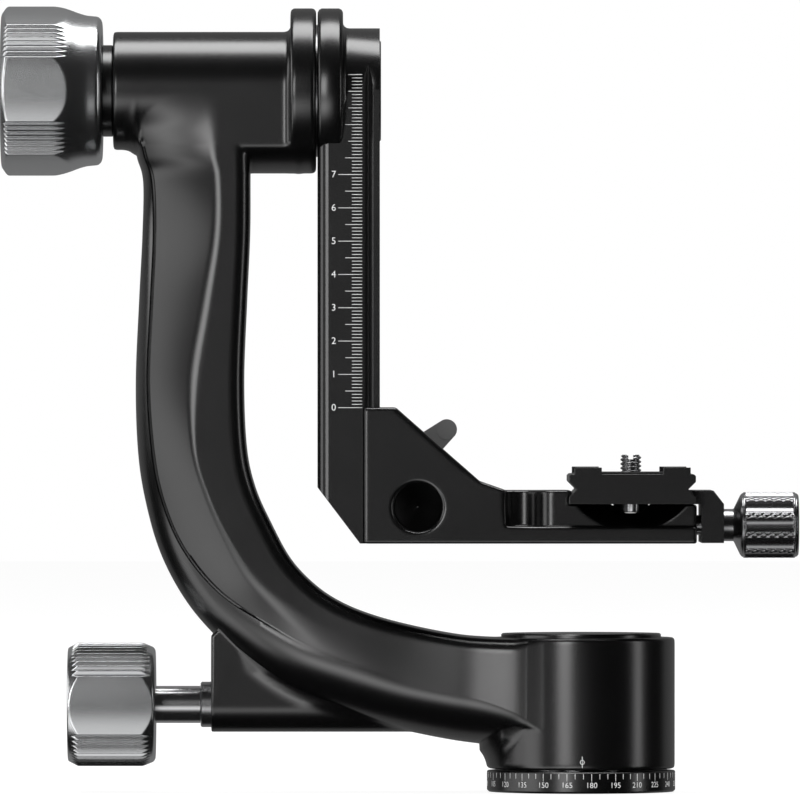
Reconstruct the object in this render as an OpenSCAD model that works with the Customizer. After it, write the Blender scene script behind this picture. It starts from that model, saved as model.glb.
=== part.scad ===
// Gimbal tripod head for long lenses, in millimetres.
// The origin is the centre of the base's underside, and +Z runs up the panning axis. The main arm
// rises on the -X side, and its tilt axis runs along X. The camera side of the scales faces -Y.

/* [Fits] */
// Gap all round a piece that turns or slides in a bore
running = 0.05; // [0.02:0.01:0.1]
// Gap between flat guides that slide on each other
sliding = 0.15; // [0.1:0.05:0.3]
// Gap between pieces that are screwed or pressed together
seated = 0.01; // [0.005:0.005:0.02]

/* [Panning base] */
// How far the graduated base stands outside the housing
base_rim = 0.15; // [0:0.05:0.5]
// Height of the graduated base
base_h = 6.4; // [5.5:0.1:8]
// Gap between the base and the housing above it
base_gap = 0.5; // [0.3:0.1:1]
// Radius of the 3/8 inch tripod thread's wall
thread_r = 4; // [3:0.1:5]
// Length of the tripod thread
thread_l = 12; // [9:0.5:14]
// Wall of the threaded bush
bush_wall = 2.2; // [1.5:0.1:2.4]
// Radius of the spindle
spindle_r = 10; // [9:0.1:11]
// Radius of the spindle's flange
flange_r = 15.4; // [15:0.1:15.8]
// Thickness of the spindle's flange
flange_h = 4.5; // [4:0.1:5]
// Depth of the flange's seat in the base
flange_sink = 2.5; // [2:0.1:3]
// Radius of the base screws
base_screw_r = 1.5; // [1.2:0.1:1.6]
// Radius of the circle that the base screws stand on
base_screw_ring = 12.2; // [11.5:0.1:12.8]
// Number of base screws
base_screws_n = 4; // [3:1:6]

/* [Panning housing] */
// Outer radius of the housing
housing_r = 28.25; // [26:0.05:31]
// Height of the housing
housing_h = 39.6; // [38:0.1:45]
// Radius of the passage between the two bearings
housing_bore = 13.6; // [13:0.1:14.5]
// Radius of the lid
cap_r = 24.1; // [22:0.1:25.5]
// Height of the lid above the housing
cap_rise = 1.2; // [0.8:0.1:2]
// Depth of the lid's seat
cap_sink = 1; // [0.8:0.1:1.5]
// Radius of the lid's screws
cap_screw_r = 1.25; // [1:0.05:1.5]
// Number of lid screws
cap_screws_n = 3; // [3:1:6]

/* [Bearings] */
// Outer radius of the panning bearings
pan_brg_r = 16; // [15.5:0.1:16.5]
// Width of the panning bearings
pan_brg_w = 7; // [6:0.1:7.5]
// Radius of the panning bearings' balls
pan_ball_r = 1.75; // [1.5:0.05:1.9]
// Number of balls in a panning bearing
pan_balls_n = 14; // [8:1:16]
// Outer radius of the tilt bearings
tilt_brg_r = 12; // [11.5:0.1:12.5]
// Width of the tilt bearings
tilt_brg_w = 5; // [4.5:0.1:6]
// Radius of the tilt bearings' balls
tilt_ball_r = 1.2; // [1:0.05:1.35]
// Number of balls in a tilt bearing
tilt_balls_n = 14; // [8:1:16]

/* [Panning lock] */
// Height of the lock's axis above the base's underside
lock_z = 26.2; // [25:0.1:27]
// Distance from the panning axis to the face of the lock boss
boss_reach = 111.5; // [106:0.5:116]
// Radius of the boss's round underside
boss_r = 8.26; // [7.8:0.02:9]
// Length of the boss along the lock's axis, into the arm's underside
boss_l = 66; // [60:1:72]
// Radius of the lock's thread and of its push rod
lock_thread_r = 4; // [3.5:0.1:4.5]
// Thread pitch of the lock
lock_pitch = 1.25; // [1:0.05:1.5]
// Radius of the steel collar at the boss
lock_bush_r = 6.85; // [6.2:0.05:7.5]
// Length of the steel collar outside the boss
lock_bush_l = 3.2; // [2:0.1:5]
// Length of the collar's spigot inside the boss
lock_spigot_l = 14; // [10:0.5:20]
// Radius of the shaft between collar and knob
lock_shaft_r = 5.6; // [5.2:0.05:6]
// Length of the shaft between collar and knob
lock_shaft_l = 13.5; // [10:0.5:20]
// Radius of the brake shoe
shoe_r = 5; // [4.8:0.1:5.5]
// Length of the brake shoe
shoe_l = 22; // [19:0.5:24]

/* [Panning lock knob] */
// Radius over the ribs
lock_knob_r = 18.6; // [16:0.1:22]
// Length of the knob
lock_knob_l = 26.4; // [22:0.1:30]
// Number of flats
lock_flats = 3; // [3:1:4]
// Half the angle that a flat takes up
lock_flat_half = 28.2; // [20:0.1:32]
// Number of grooves between two flats
lock_grooves = 11; // [7:1:13]
// Radius of the screw that holds the knob
knob_screw_r = 2; // [1.5:0.1:2.2]

/* [Tilt head] */
// Height of the tilt axis above the base's underside
tilt_z = 211.2; // [200:0.5:225]
// Radius of the tilt tube
tube_r = 17.8; // [17.2:0.1:19]
// Length of the tilt tube with its disc
tube_l = 61.1; // [57:0.1:66]
// Radius of the two pivot discs
disc_r = 24.9; // [24:0.1:26]
// Width of the main arm's pivot disc
disc_w = 7.7; // [6.5:0.1:9]
// Width of the web between the arm and its pivot disc
web_w = 12.2; // [10:0.1:15]
// Gap between the two pivot discs
pivot_gap = 0.5; // [0.4:0.05:0.8]
// Radius of the tilt axle
axle_r = 7.5; // [7:0.1:8]
// Radius of the axle's head
axle_head_r = 11; // [10:0.1:13]
// Thickness of the axle's head
axle_head_t = 3.5; // [3:0.1:4]
// Depth of the left tilt bearing in its end of the tube
brg_inset = 1.9; // [1.9:0.1:2.5]
// Outer radius of the spacer between the tilt bearings
spacer_r = 9; // [8.8:0.1:9.6]
// Radius of the passage through the tube
tube_bore = 10.2; // [9.9:0.1:10.8]

/* [Tilt lock] */
// Radius of the pressure collar
collar_r = 13.8; // [12.5:0.1:15]
// Width of the pressure collar
collar_w = 3.2; // [2.5:0.1:5]
// Gap between the collar and the tube
collar_gap = 0.1; // [0.05:0.05:0.2]
// Thickness of the friction washer
friction_t = 1.7; // [1.4:0.1:1.8]
// Radius of the friction washer
friction_r = 13; // [12.6:0.1:13.4]
// Radius of the axle's thread
tilt_thread_r = 6; // [5.5:0.1:6.4]
// Thread pitch of the axle
tilt_pitch = 1.75; // [1.5:0.05:2]
// Radius over the ribs of the tilt knob
tilt_knob_r = 25.6; // [23:0.1:28]
// Length of the tilt knob
tilt_knob_l = 30.4; // [28:0.1:34]
// Radius of the knob's waist, next to the collar
tilt_waist_r = 22.4; // [20:0.1:22.6]
// Number of flats
tilt_flats = 5; // [4:1:6]
// Half the angle that a flat takes up
tilt_flat_half = 22.3; // [18:0.1:24]
// Number of grooves between two flats
tilt_grooves = 7; // [5:1:9]
// Radius of the knob's steel insert
insert_r = 9; // [8.4:0.1:10]

/* [Swing arm] */
// Distance from the panning axis to the rail's right face
rail_reach = 60.7; // [58:0.1:64]
// Thickness of the swing arm along X
rail_w = 18.7; // [17:0.1:21]
// Half the width of the rail
rail_half = 18.9; // [18:0.1:20]
// Length of the rail below the tilt axis
rail_l = 136.3; // [128:0.5:145]
// Width of the swing arm's pivot disc
swing_disc_w = 7.6; // [6.5:0.1:9]
// Radius of the rail's left edges
rail_edge = 3.3; // [2:0.1:4.5]
// Thickness of the rail's dovetail flange
flange_t = 2; // [1.6:0.1:2.4]
// Depth of the rail's side grooves
groove_d = 1.5; // [1.2:0.1:1.8]
// Width and height of the bevel at the rail's foot
foot_bevel = [12.8, 16.9];
// Radius of the cap over the axle's head
axle_cap_r = 15.1; // [13.6:0.1:15.6]
// Thickness of that cap
axle_cap_t = 3; // [2.4:0.1:3.5]
// Height of that cap above the rail's face
axle_cap_rise = 0.36; // [0.2:0.02:0.5]
// Radius of the stop pin at the rail's foot
stop_r = 1.5; // [1.2:0.1:1.8]
// Height of the stop pin above the rail's foot
stop_up = 12; // [10:0.5:14]
// Length of the stop pin outside the rail
stop_out = 1.4; // [1:0.1:1.8]

/* [Platform bracket] */
// Height of the bracket on the rail
bracket_h = 40.9; // [38:0.1:46]
// Half the width of the bracket
bracket_half = 23.5; // [22.5:0.1:25.5]
// Reach of the bracket's lips round the rail
lip_l = 4.6; // [4.2:0.1:4.8]
// Width of the bracket's top
bracket_top_w = 9.4; // [8:0.1:12]
// Where the slope ends, right of the rail's face and above the bracket's foot
slope_end = [30.2, 18.6];
// Where the deck begins, right of the rail's face
deck_start = 37.9; // [36:0.1:40]
// Height of the fixed jaw above the bracket's foot
jaw_h = 15.9; // [15:0.1:18]
// Thickness of the bottom plate
bottom_t = 5.2; // [4.5:0.1:6]
// Width of the finger pocket between the slope and the fixed jaw
pocket_w = 9.4; // [7:0.1:10]
// Depth of that pocket
pocket_d = 7; // [5:0.5:9]
// Radius of the finger scoops under the plate's ends
scoop_r = 15.9; // [14:0.1:16]
// Radius of the blind hole in the front
sight_r = 7.27; // [6:0.01:8]
// Depth of the blind hole
sight_d = 9; // [6:0.5:12]
// Place of the blind hole, right of the rail's face and above the bracket's foot
sight_at = [11.4, 10.9];

/* [Height lever] */
// Place of the lever's axis, right of the rail's face and above the bracket's foot
lever_at = [4.6, 21];
// Distance from the lever's axis to the centre of its round end
lever_l = 20.5; // [17:0.5:24]
// Angle of the lever above level
lever_angle = 40; // [20:1:70]
// Radius of the lever's hub
lever_hub_r = 6; // [5.5:0.1:7]
// Radius of the lever's round end
lever_end_r = 3.1; // [2.5:0.1:4]
// Thickness of the lever
lever_t = 6; // [5:0.1:8]
// Radius of the lever's screw
lever_screw_r = 3; // [2.5:0.1:3]
// Height of the boss under the lever
lever_boss_t = 2.5; // [2:0.1:4]
// Height of the gib along the rail
gib_h = 22; // [18:0.5:26]
// Thickness of the gib behind the flange
gib_t = 2.6; // [2:0.1:3]

/* [Quick-release clamp] */
// Distance from the rail's face to the middle of the clamp
clamp_reach = 75.7; // [72:0.1:80]
// Width of the camera plate over its dovetail
plate_w = 37.94; // [36:0.02:40]
// Height of the plate's seat above the bracket's foot
seat_h = 11.7; // [11:0.1:13]
// Gap between the plate and its seat
seat_gap = 0.2; // [0.15:0.05:0.3]
// Length of the camera plate
plate_l = 66; // [60:1:72]
// Height of the dovetail's straight edge
edge_h = 2.1; // [1.8:0.1:2.4]
// Depth of the dovetail
dovetail_d = 2.3; // [2:0.1:2.6]
// Height of the plate's upper flange
upper_h = 2.3; // [1.8:0.1:3]
// Height of the end ears above the plate
ear_h = 2; // [1.5:0.1:3]
// Inner and outer edge of an ear from the plate's middle
ear_span = [9.2, 17.4];
// Thickness of the rubber strips above the plate
pad_rise = 0.5; // [0.3:0.1:0.8]
// Width of the moving jaw
jaw_w = 6.7; // [6:0.1:8]
// Gap between the bracket and the moving jaw
jaw_gap = 1.4; // [1:0.1:2]
// Travel of the moving jaw
jaw_travel = 3; // [2:0.5:4]
// Radius of the clamp screw
clamp_screw_r = 3; // [2.5:0.1:3]
// Height of the clamp screw's axis above the bracket's foot
clamp_screw_up = 5.4; // [5:0.1:6]
// Radius of the guide pins
guide_r = 2; // [1.5:0.1:2.2]
// Distance of the guide pins from the clamp screw
guide_out = 15; // [13:0.5:17]
// Radius of the clamp knob over its knurl
clamp_knob_r = 9.9; // [8.5:0.1:11]
// Length of the clamp knob without its neck
clamp_knob_l = 19.6; // [17:0.1:22]
// Radius of the knob's neck
clamp_neck_r = 4.85; // [4.2:0.05:5.5]
// Length of the knob's neck
clamp_neck_l = 3.3; // [2.5:0.1:5]
// Number of flutes round the knob
clamp_flutes = 10; // [8:1:12]

/* [Camera screw] */
// Radius of the 1/4 inch camera screw
camera_screw_r = 3.175; // [3:0.005:3.3]
// Height of the camera screw above the plate
camera_screw_up = 5.7; // [5:0.1:7]
// Radius of the camera screw's head
camera_head_r = 5.3; // [4.8:0.1:6]
// Thickness of the camera screw's head
camera_head_t = 2.6; // [2:0.1:2.8]
// Radius of the stop pins under the plate
plate_stop_r = 2.08; // [1.5:0.02:2.4]
// Distance of a stop pin from the plate's end
plate_stop_in = 3.5; // [3:0.1:4]
// Way that the plate can slide to each side, set by the room round the screw's head
plate_travel = 3; // [1:0.1:3.2]

/* [Main arm] */
// Half the thickness of the arm
arm_half = 17.6; // [17:0.1:18]
// Width of the bevel on the arm's inner edges
arm_bevel = 3.4; // [2:0.1:4.5]
// Width of the arm at its upright
arm_w = 32.5; // [30:0.1:35]
// How far the arm's slope falls back from its flat
arm_slope = 9.4; // [6:0.1:11]

/* [Hidden] */
$fn = 96;

// Colours as the photograph shows them
black = [0.16, 0.16, 0.17];
soft_black = [0.08, 0.08, 0.08];
silver = [0.78, 0.79, 0.8];
steel = [0.7, 0.71, 0.72];
dark_chrome = [0.35, 0.35, 0.37];
grey = [0.5, 0.51, 0.52];
brass = [0.76, 0.62, 0.34];

// A tiny reach of a cutter past the face that it opens
through = 0.5;
// How far a knob's turned blank stands outside its ribs
blank = 0.2;

// Heights of the panning stack
base_r = housing_r + base_rim;
housing_z = base_h + base_gap;
housing_top = housing_z + housing_h;
flange_z = base_h - flange_sink;
flange_top = flange_z + flange_h;
shoulder_h = 0.6;
lower_brg_z = flange_top + shoulder_h;
pan_washer_t = 0.5;
pan_nut_h = 3;
nut_room = 0.5;
cap_seat_z = housing_top - cap_sink;
upper_brg_z = cap_seat_z - nut_room - pan_nut_h - pan_washer_t - pan_brg_w;
nut_z = upper_brg_z + pan_brg_w + pan_washer_t;
pan_race_t = (pan_brg_r - spindle_r) / 3;
pan_pitch_r = (pan_brg_r + spindle_r) / 2;
spindle_neck_r = spindle_r - 1.5;
pan_nut_r = spindle_r + 2;

// Places along the panning lock, from the boss outwards and inwards
boss_x = -boss_reach;
lock_bush_x = boss_x - lock_bush_l;
lock_thread_end = boss_x + lock_spigot_l + 0.5;
lock_shaft_x = lock_bush_x - 0.1;
lock_knob_right = lock_shaft_x - lock_shaft_l;
lock_knob_left = lock_knob_right - lock_knob_l;
// Depths from the knob's end of its screw's seat, of the shaft's end and of the screw's point
knob_seat = 2.6;
knob_floor = 5;
knob_screw_l = 7 * knob_screw_r;
knob_head_r = 2 * knob_screw_r;
shoe_x = -spindle_r - shoe_l;
shoe_room = 2 * lock_pitch;

// Places along the tilt axis, from the rail's face leftwards
rail_x = -rail_reach;
swing_x = rail_x - rail_w;
disc_x = swing_x - pivot_gap;
disc_left = disc_x - disc_w;
web_x = disc_left - web_w;
tube_x = disc_x - tube_l;
right_inset = 1.3;
left_brg_x = tube_x + brg_inset;
right_brg_x = disc_x - right_inset - tilt_brg_w;
tilt_race_t = (tilt_brg_r - axle_r) / 3;
tilt_pitch_r = (tilt_brg_r + axle_r) / 2;
collar_right = tube_x - collar_gap;
collar_left = collar_right - collar_w;
tilt_knob_right = collar_left - running;
tilt_knob_left = tilt_knob_right - tilt_knob_l;
axle_shoulder_x = tilt_knob_right - 1.2;
insert_x = axle_shoulder_x - 1;
insert_l = 17;
axle_end_x = insert_x - insert_l - 2 * tilt_pitch;
axle_cap_x = rail_x + axle_cap_rise - axle_cap_t;
axle_head_x = axle_cap_x - axle_head_t;
tilt_cap_t = 3;
tilt_cap_r = 14;

// Heights and places of the rail, the bracket and the clamp
foot_z = tilt_z - rail_l;
flange_left = rail_x - flange_t;
lip_x = rail_x - lip_l;
bracket_top = foot_z + bracket_h;
slope_x = rail_x + slope_end[0];
slope_z = foot_z + slope_end[1];
deck_x = rail_x + deck_start;
jaw_z = foot_z + jaw_h;
seat_z = foot_z + seat_h;
clamp_x = rail_x + clamp_reach;
plate_z = seat_z + seat_gap;
plate_half = plate_w / 2;
waist_z = plate_z + edge_h + dovetail_d;
plate_top = waist_z + dovetail_d + upper_h;
lip_gap = 0.13;
lip_land = 0.7;
// Where a jaw's sloping underside meets its upright edge, and where its nose begins
jaw_inner = plate_half + lip_gap;
nose_in = jaw_h - seat_h - lip_land - edge_h - seat_gap;
nose_z = jaw_z - lip_land;
bracket_right = clamp_x + plate_half + 0.5;
jaw_x = bracket_right + jaw_gap;
jaw_right = jaw_x + jaw_w;
clamp_z = foot_z + clamp_screw_up;
clamp_screw_end = bracket_right - jaw_travel - 7;
guide_start = bracket_right - jaw_travel - 5.8;
// Wall of the jaw outside its guide pins
pin_wall = 0.15 * jaw_w;
clamp_neck_x = jaw_right + 0.1;
clamp_cone_x = clamp_neck_x + clamp_neck_l;
clamp_cone_l = 2;
clamp_knob_right = clamp_cone_x + clamp_knob_l;
clamp_screw_right = clamp_cone_x + 0.6 * clamp_knob_l;
head_top = plate_z - 0.1;
head_floor = head_top - camera_head_t - 0.4;
// The screw's neck, thinner than its thread so that the plate keeps it, and its reach above the plate
camera_neck_r = camera_screw_r - 0.6;
neck_up = 0.3;
stop_pin_z = foot_z + stop_up;
stop_in = 6;
stop_slot_r = stop_r + sliding;
plate_stop_y = plate_l / 2 - plate_stop_in;
plate_stop_down = 2.3;
plate_stop_up = 4;

// The tooth of the bracket's lips and of the gib, clear of the rail's groove all round
tooth_x = flange_left - groove_d;
tooth_y = rail_half - groove_d + sqrt(2) * sliding;

// Places of the height lever and its gib
lever_x = rail_x + lever_at[0];
lever_z = foot_z + lever_at[1];
channel_half = rail_half + sliding;
gib_back = channel_half + gib_t;
gib_right = lever_x + lever_screw_r + 1;
boss_face = bracket_half + lever_boss_t;
lever_face = boss_face + 0.3;

// A cylinder that lies along X, from x0 to x1
module rod_x(x0, x1, r) {
    translate([x0, 0, 0])
        rotate([0, 90, 0])
            cylinder(h = x1 - x0, r = r);
}

// A cylinder that lies along Y, from y0 to y1
module rod_y(y0, y1, r) {
    translate([0, y0, 0])
        rotate([-90, 0, 0])
            cylinder(h = y1 - y0, r = r);
}

// A profile of [x, radius] points turned about X
module turned_x(profile) {
    rotate([0, 90, 0])
        rotate_extrude()
            polygon([for (p = profile) [p[1], p[0]]]);
}

// A profile of [radius, z] points turned about Z
module turned_z(profile) {
    rotate_extrude()
        polygon(profile);
}

// An outline of [x, z] points as a slab from y0 to y1
module slab_y(outline, y0, y1) {
    translate([0, y1, 0])
        rotate([90, 0, 0])
            linear_extrude(height = y1 - y0)
                polygon(outline);
}

// Points of an arc from angle a0 to a1 about c
function arc(c, r, a0, a1, steps) =
    [for (i = [0 : steps]) c + r * [cos(a0 + (a1 - a0) * i / steps), sin(a0 + (a1 - a0) * i / steps)]];

// A ring between two radii along X
module ring_x(x0, x1, r_in, r_out) {
    difference() {
        rod_x(x0, x1, r_out);
        rod_x(x0 - through, x1 + through, r_in);
    }
}

// A ring between two radii along Z
module ring_z(z0, z1, r_in, r_out) {
    difference() {
        translate([0, 0, z0])
            cylinder(h = z1 - z0, r = r_out);
        translate([0, 0, z0 - through])
            cylinder(h = z1 - z0 + 2 * through, r = r_in);
    }
}

// One race of a ball bearing that lies on the XY plane, with its ball groove
module race(r_in, r_out, width, pitch_r, ball_r) {
    difference() {
        ring_z(0, width, r_in, r_out);
        translate([0, 0, width / 2])
            rotate_extrude()
                translate([pitch_r, 0])
                    circle(r = ball_r + running);
    }
}

// The balls of a bearing that lies on the XY plane
module balls(n, width, pitch_r, ball_r) {
    for (i = [0 : n - 1])
        rotate([0, 0, i * 360 / n])
            translate([pitch_r, 0, width / 2])
                sphere(r = ball_r);
}

// The heights of both panning bearings, and the places of both tilt bearings
pan_bearings = [lower_brg_z, upper_brg_z];
tilt_bearings = [left_brg_x, right_brg_x];

// Outline of a ribbed knob: flats, with V grooves round the sectors between them.
// The first flat faces -Y when the knob's axis lies along X.
function ribbed_outline(r, flats, flat_half, grooves, depth) =
    [for (i = [0 : flats - 1])
        let (start = -90 + i * 360 / flats + flat_half, pitch = (360 / flats - 2 * flat_half) / grooves)
        for (g = [0 : 2 * grooves])
            let (radius = g % 2 == 0 ? r : r - depth)
            radius * [cos(start + g * pitch / 2), sin(start + g * pitch / 2)]];

module graduated_base() {
    color(black)
        difference() {
            turned_z([[0, 0], [base_r - 0.6, 0], [base_r, 0.6], [base_r, base_h - 0.3],
                      [base_r - 0.3, base_h], [0, base_h]]);
            translate([0, 0, flange_z])
                cylinder(h = base_h, r = flange_r + seated);
            translate([0, 0, -through])
                cylinder(h = base_h, r = thread_r + bush_wall + seated);
            base_screw_cuts(seated);
        }
}

// The base screws' own shape, grown by gap
module base_screw_cuts(gap) {
    for (i = [0 : base_screws_n - 1])
        rotate([0, 0, 45 + i * 360 / base_screws_n])
            translate([base_screw_ring, 0, 0])
                turned_z([[0, 0.3], [2 * base_screw_r + gap, 0.3],
                          [base_screw_r + gap, 0.3 + base_screw_r],
                          [base_screw_r + gap, flange_top - 1.2], [0, flange_top - 1.2]]);
    if (gap > 0)
        for (i = [0 : base_screws_n - 1])
            rotate([0, 0, 45 + i * 360 / base_screws_n])
                translate([base_screw_ring, 0, -through])
                    cylinder(h = through + 0.3, r = 2 * base_screw_r + gap);
}

module base_screws() {
    color(steel)
        base_screw_cuts(0);
}

module thread_bush() {
    color(brass)
        ring_z(0, thread_l, thread_r, thread_r + bush_wall);
}

module pan_spindle() {
    color(steel)
        difference() {
            union() {
                translate([0, 0, flange_z])
                    cylinder(h = flange_h, r = flange_r);
                translate([0, 0, flange_z])
                    cylinder(h = flange_h + shoulder_h, r = spindle_r + pan_race_t);
                translate([0, 0, flange_z])
                    cylinder(h = nut_z - pan_washer_t - flange_z, r = spindle_r);
                translate([0, 0, flange_z])
                    cylinder(h = nut_z + pan_nut_h - flange_z, r = spindle_neck_r);
            }
            translate([0, 0, flange_z - through])
                cylinder(h = thread_l - flange_z + through + 1, r = thread_r + bush_wall + seated);
            base_screw_cuts(seated);
        }
}

module pan_bearing_inner_races() {
    color(steel)
        for (z = pan_bearings)
            translate([0, 0, z])
                race(spindle_r + seated, spindle_r + pan_race_t, pan_brg_w, pan_pitch_r, pan_ball_r);
}

module pan_bearing_outer_races() {
    color(steel)
        for (z = pan_bearings)
            translate([0, 0, z])
                race(pan_brg_r - pan_race_t, pan_brg_r - seated, pan_brg_w, pan_pitch_r, pan_ball_r);
}

module pan_bearing_balls() {
    color(steel)
        for (z = pan_bearings)
            translate([0, 0, z])
                balls(pan_balls_n, pan_brg_w, pan_pitch_r, pan_ball_r);
}

module pan_washer() {
    color(brass)
        ring_z(nut_z - pan_washer_t + seated, nut_z - seated, spindle_neck_r + seated, spindle_r + pan_race_t);
}

module pan_nut() {
    color(steel)
        difference() {
            ring_z(nut_z, nut_z + pan_nut_h, spindle_neck_r + seated, pan_nut_r);
            for (a = [0, 90])
                rotate([0, 0, a])
                    translate([-pan_nut_r - through, -1.2, nut_z + pan_nut_h - 1])
                        cube([2 * (pan_nut_r + through), 2.4, 1 + through]);
        }
}

// Stations down the arm, from inside the tilt tube to inside the housing. Each row holds the share
// of the reach and of the rise at which the inner edge lies, the turn of the section from level,
// its width, the shares of the width where the flat and the slope end, the half thickness, and
// how far the slope has fallen back at its foot.
arm_foot_z = housing_top - 0.3;
arm_stations = [
    [1.000, 1.000,  0.0, arm_w + 5.2,      0.31, 0.84, arm_half,       0.10 * arm_slope],
    [1.000, 0.892,  0.0, arm_w + 4.1,      0.31, 0.85, arm_half,       0.32 * arm_slope],
    [1.000, 0.841,  0.0, arm_w - 0.4,      0.30, 0.86, arm_half,       0.85 * arm_slope],
    [1.001, 0.738,  0.0, arm_w - 0.1,      0.31, 0.85, arm_half,       1.00 * arm_slope],
    [1.010, 0.617,  0.0, arm_w,            0.37, 0.86, arm_half,       0.84 * arm_slope],
    [1.019, 0.472,  0.0, arm_w + 0.1,      0.46, 0.86, arm_half,       0.72 * arm_slope],
    [1.011, 0.350,  1.0, arm_w + 0.3,      0.48, 0.84, arm_half,       0.98 * arm_slope],
    [0.985, 0.276,  9.9, arm_w + 0.7,      0.44, 0.82, arm_half,       1.00 * arm_slope],
    [0.937, 0.210, 18.3, arm_w + 1.8,      0.41, 0.77, arm_half,       0.96 * arm_slope],
    [0.877, 0.144, 24.7, arm_w + 1.1,      0.39, 0.70, arm_half,       0.80 * arm_slope],
    [0.802, 0.096, 38.7, arm_w - 0.5,      0.36, 0.64, arm_half,       0.60 * arm_slope],
    [0.721, 0.064, 55.0, arm_w - 1.0,      0.36, 0.62, arm_half,       0.44 * arm_slope],
    [0.621, 0.040, 67.2, arm_w - 1.6,      0.36, 0.63, arm_half,       0.30 * arm_slope],
    [0.501, 0.021, 78.9, arm_w - 1.3,      0.38, 0.66, arm_half,       0.18 * arm_slope],
    [0.381, 0.007, 86.4, arm_w - 0.4,      0.40, 0.70, arm_half + 0.2, 0.08 * arm_slope],
    [0.240, 0.000, 88.5, housing_h - 2.4,  0.42, 0.75, arm_half + 2.9, 0.04 * arm_slope],
    [0.080, 0.000, 90.0, housing_h - 1.4,  0.44, 0.80, housing_r - 2.2, 0.03 * arm_slope]
];

// A point of the smooth curve through b and c, with a before them and d after
function between(a, b, c, d, t) =
    0.5 * (2 * b + (c - a) * t + (2 * a - 5 * b + 4 * c - d) * t * t + (3 * (b - c) + d - a) * t * t * t);

// The rows with steps - 1 more between each two
function smoothed(rows, steps) =
    [for (i = [0 : len(rows) - 2], j = [0 : steps - 1])
        between(rows[max(i - 1, 0)], rows[i], rows[i + 1], rows[min(i + 2, len(rows) - 1)], j / steps),
     rows[len(rows) - 1]];

// Half of a station's section as [share of the width, half thickness]
function half_section(s) =
    let (flat = s[4], crease = s[5], half = s[6], low = s[6] - s[7])
    concat(
        [[0, half - arm_bevel], [arm_bevel / s[3], half], [flat, half],
         [flat + 0.35 * (crease - flat), half - 0.29 * s[7]],
         [flat + 0.7 * (crease - flat), half - 0.64 * s[7]], [crease, low]],
        [for (a = [35, 55, 72]) [crease + (1 - crease) * (sin(a) - 0.36) / 0.64, low * cos(a) / 0.93]]);

// The closed section of a station as points in space
function section_ring(s) =
    let (half = half_section(s), n = len(half),
         inner = [s[0] * web_x, arm_foot_z + s[1] * (tilt_z - arm_foot_z)],
         along = [-cos(s[2]), -sin(s[2])] * s[3])
    concat(
        [for (p = half) let (q = inner + p[0] * along) [q[0], -p[1], q[1]]],
        [[inner[0] + along[0], 0, inner[1] + along[1]]],
        [for (i = [n - 1 : -1 : 0]) let (q = inner + half[i][0] * along) [q[0], half[i][1], q[1]]]);

module arm_loft() {
    rings = [for (s = smoothed(arm_stations, 2)) section_ring(s)];
    n = len(rings[0]);
    m = len(rings);
    points = [for (ring = rings) each ring];
    sides = [for (i = [0 : m - 2], j = [0 : n - 1])
        let (k = (j + 1) % n, a = i * n + j, b = i * n + k, c = a + n, d = b + n)
        each [[a, c, b], [b, c, d]]];
    first = [for (j = [0 : n - 1]) j];
    last = [for (j = [n - 1 : -1 : 0]) (m - 1) * n + j];
    polyhedron(points = points, faces = concat(sides, [first, last]), convexity = 10);
}

// The tilt tube, its fillet and the arm's pivot disc, as one turned shape
module tilt_barrel() {
    fillet_r = 2;
    translate([0, 0, tilt_z])
        turned_x(concat(
            [[tube_x, 0], [tube_x, tube_r - 1], [tube_x + 1, tube_r]],
            arc([disc_left - fillet_r, tube_r + fillet_r], fillet_r, -90, 0, 4),
            [[disc_left, disc_r - 1.2], [disc_left + 0.4, disc_r - 0.4], [disc_left + 1.2, disc_r],
             [disc_x - 1.2, disc_r], [disc_x - 0.4, disc_r - 0.4], [disc_x, disc_r - 1.2],
             [disc_x, 0]]));
}

// The block under the tube that joins the arm to its pivot disc
module tilt_web() {
    intersection() {
        translate([0, 0, tilt_z])
            rod_x(web_x - arm_bevel, disc_left + 1, disc_r);
        translate([web_x - arm_bevel - 1, -arm_half + 0.1, tilt_z - disc_r - 1])
            cube([web_w + arm_bevel + 3, 2 * arm_half - 0.2, disc_r + 1]);
    }
}

// The lock boss: an upright slab that grows out of the arm, with a half-round underside
module lock_boss() {
    slab_y([[boss_x, lock_z], [boss_x, housing_top + 0.5], [boss_x + 0.15 * boss_l, housing_top + 9],
            [boss_x + 0.79 * boss_l, housing_top + 3], [boss_x + boss_l, lock_z]], -boss_r, boss_r);
    translate([0, 0, lock_z])
        rod_x(boss_x, boss_x + boss_l, boss_r);
}

module main_arm() {
    color(black)
        difference() {
            union() {
                arm_loft();
                tilt_barrel();
                tilt_web();
                lock_boss();
                turned_z([[0, housing_z], [housing_r - 0.5, housing_z], [housing_r, housing_z + 0.5],
                          [housing_r, housing_top - 0.8], [housing_r - 0.8, housing_top],
                          [0, housing_top]]);
            }
            pan_bores();
            lock_bores();
            tilt_bores();
        }
}

module pan_bores() {
    translate([0, 0, housing_z - through])
        cylinder(h = lower_brg_z + pan_brg_w - housing_z + through, r = pan_brg_r);
    translate([0, 0, housing_z])
        cylinder(h = housing_h - cap_sink, r = housing_bore);
    translate([0, 0, upper_brg_z])
        cylinder(h = housing_top - upper_brg_z, r = pan_brg_r);
    translate([0, 0, cap_seat_z])
        cylinder(h = cap_sink + through, r = cap_r + seated);
    cap_screw_shapes(seated);
}

module lock_bores() {
    translate([0, 0, lock_z]) {
        rod_x(boss_x - through, 0, lock_thread_r);
        rod_x(boss_x - through, boss_x + lock_spigot_l, lock_bush_r - 0.85 + seated);
        rod_x(shoe_x - shoe_room, 0, shoe_r);
    }
}

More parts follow.
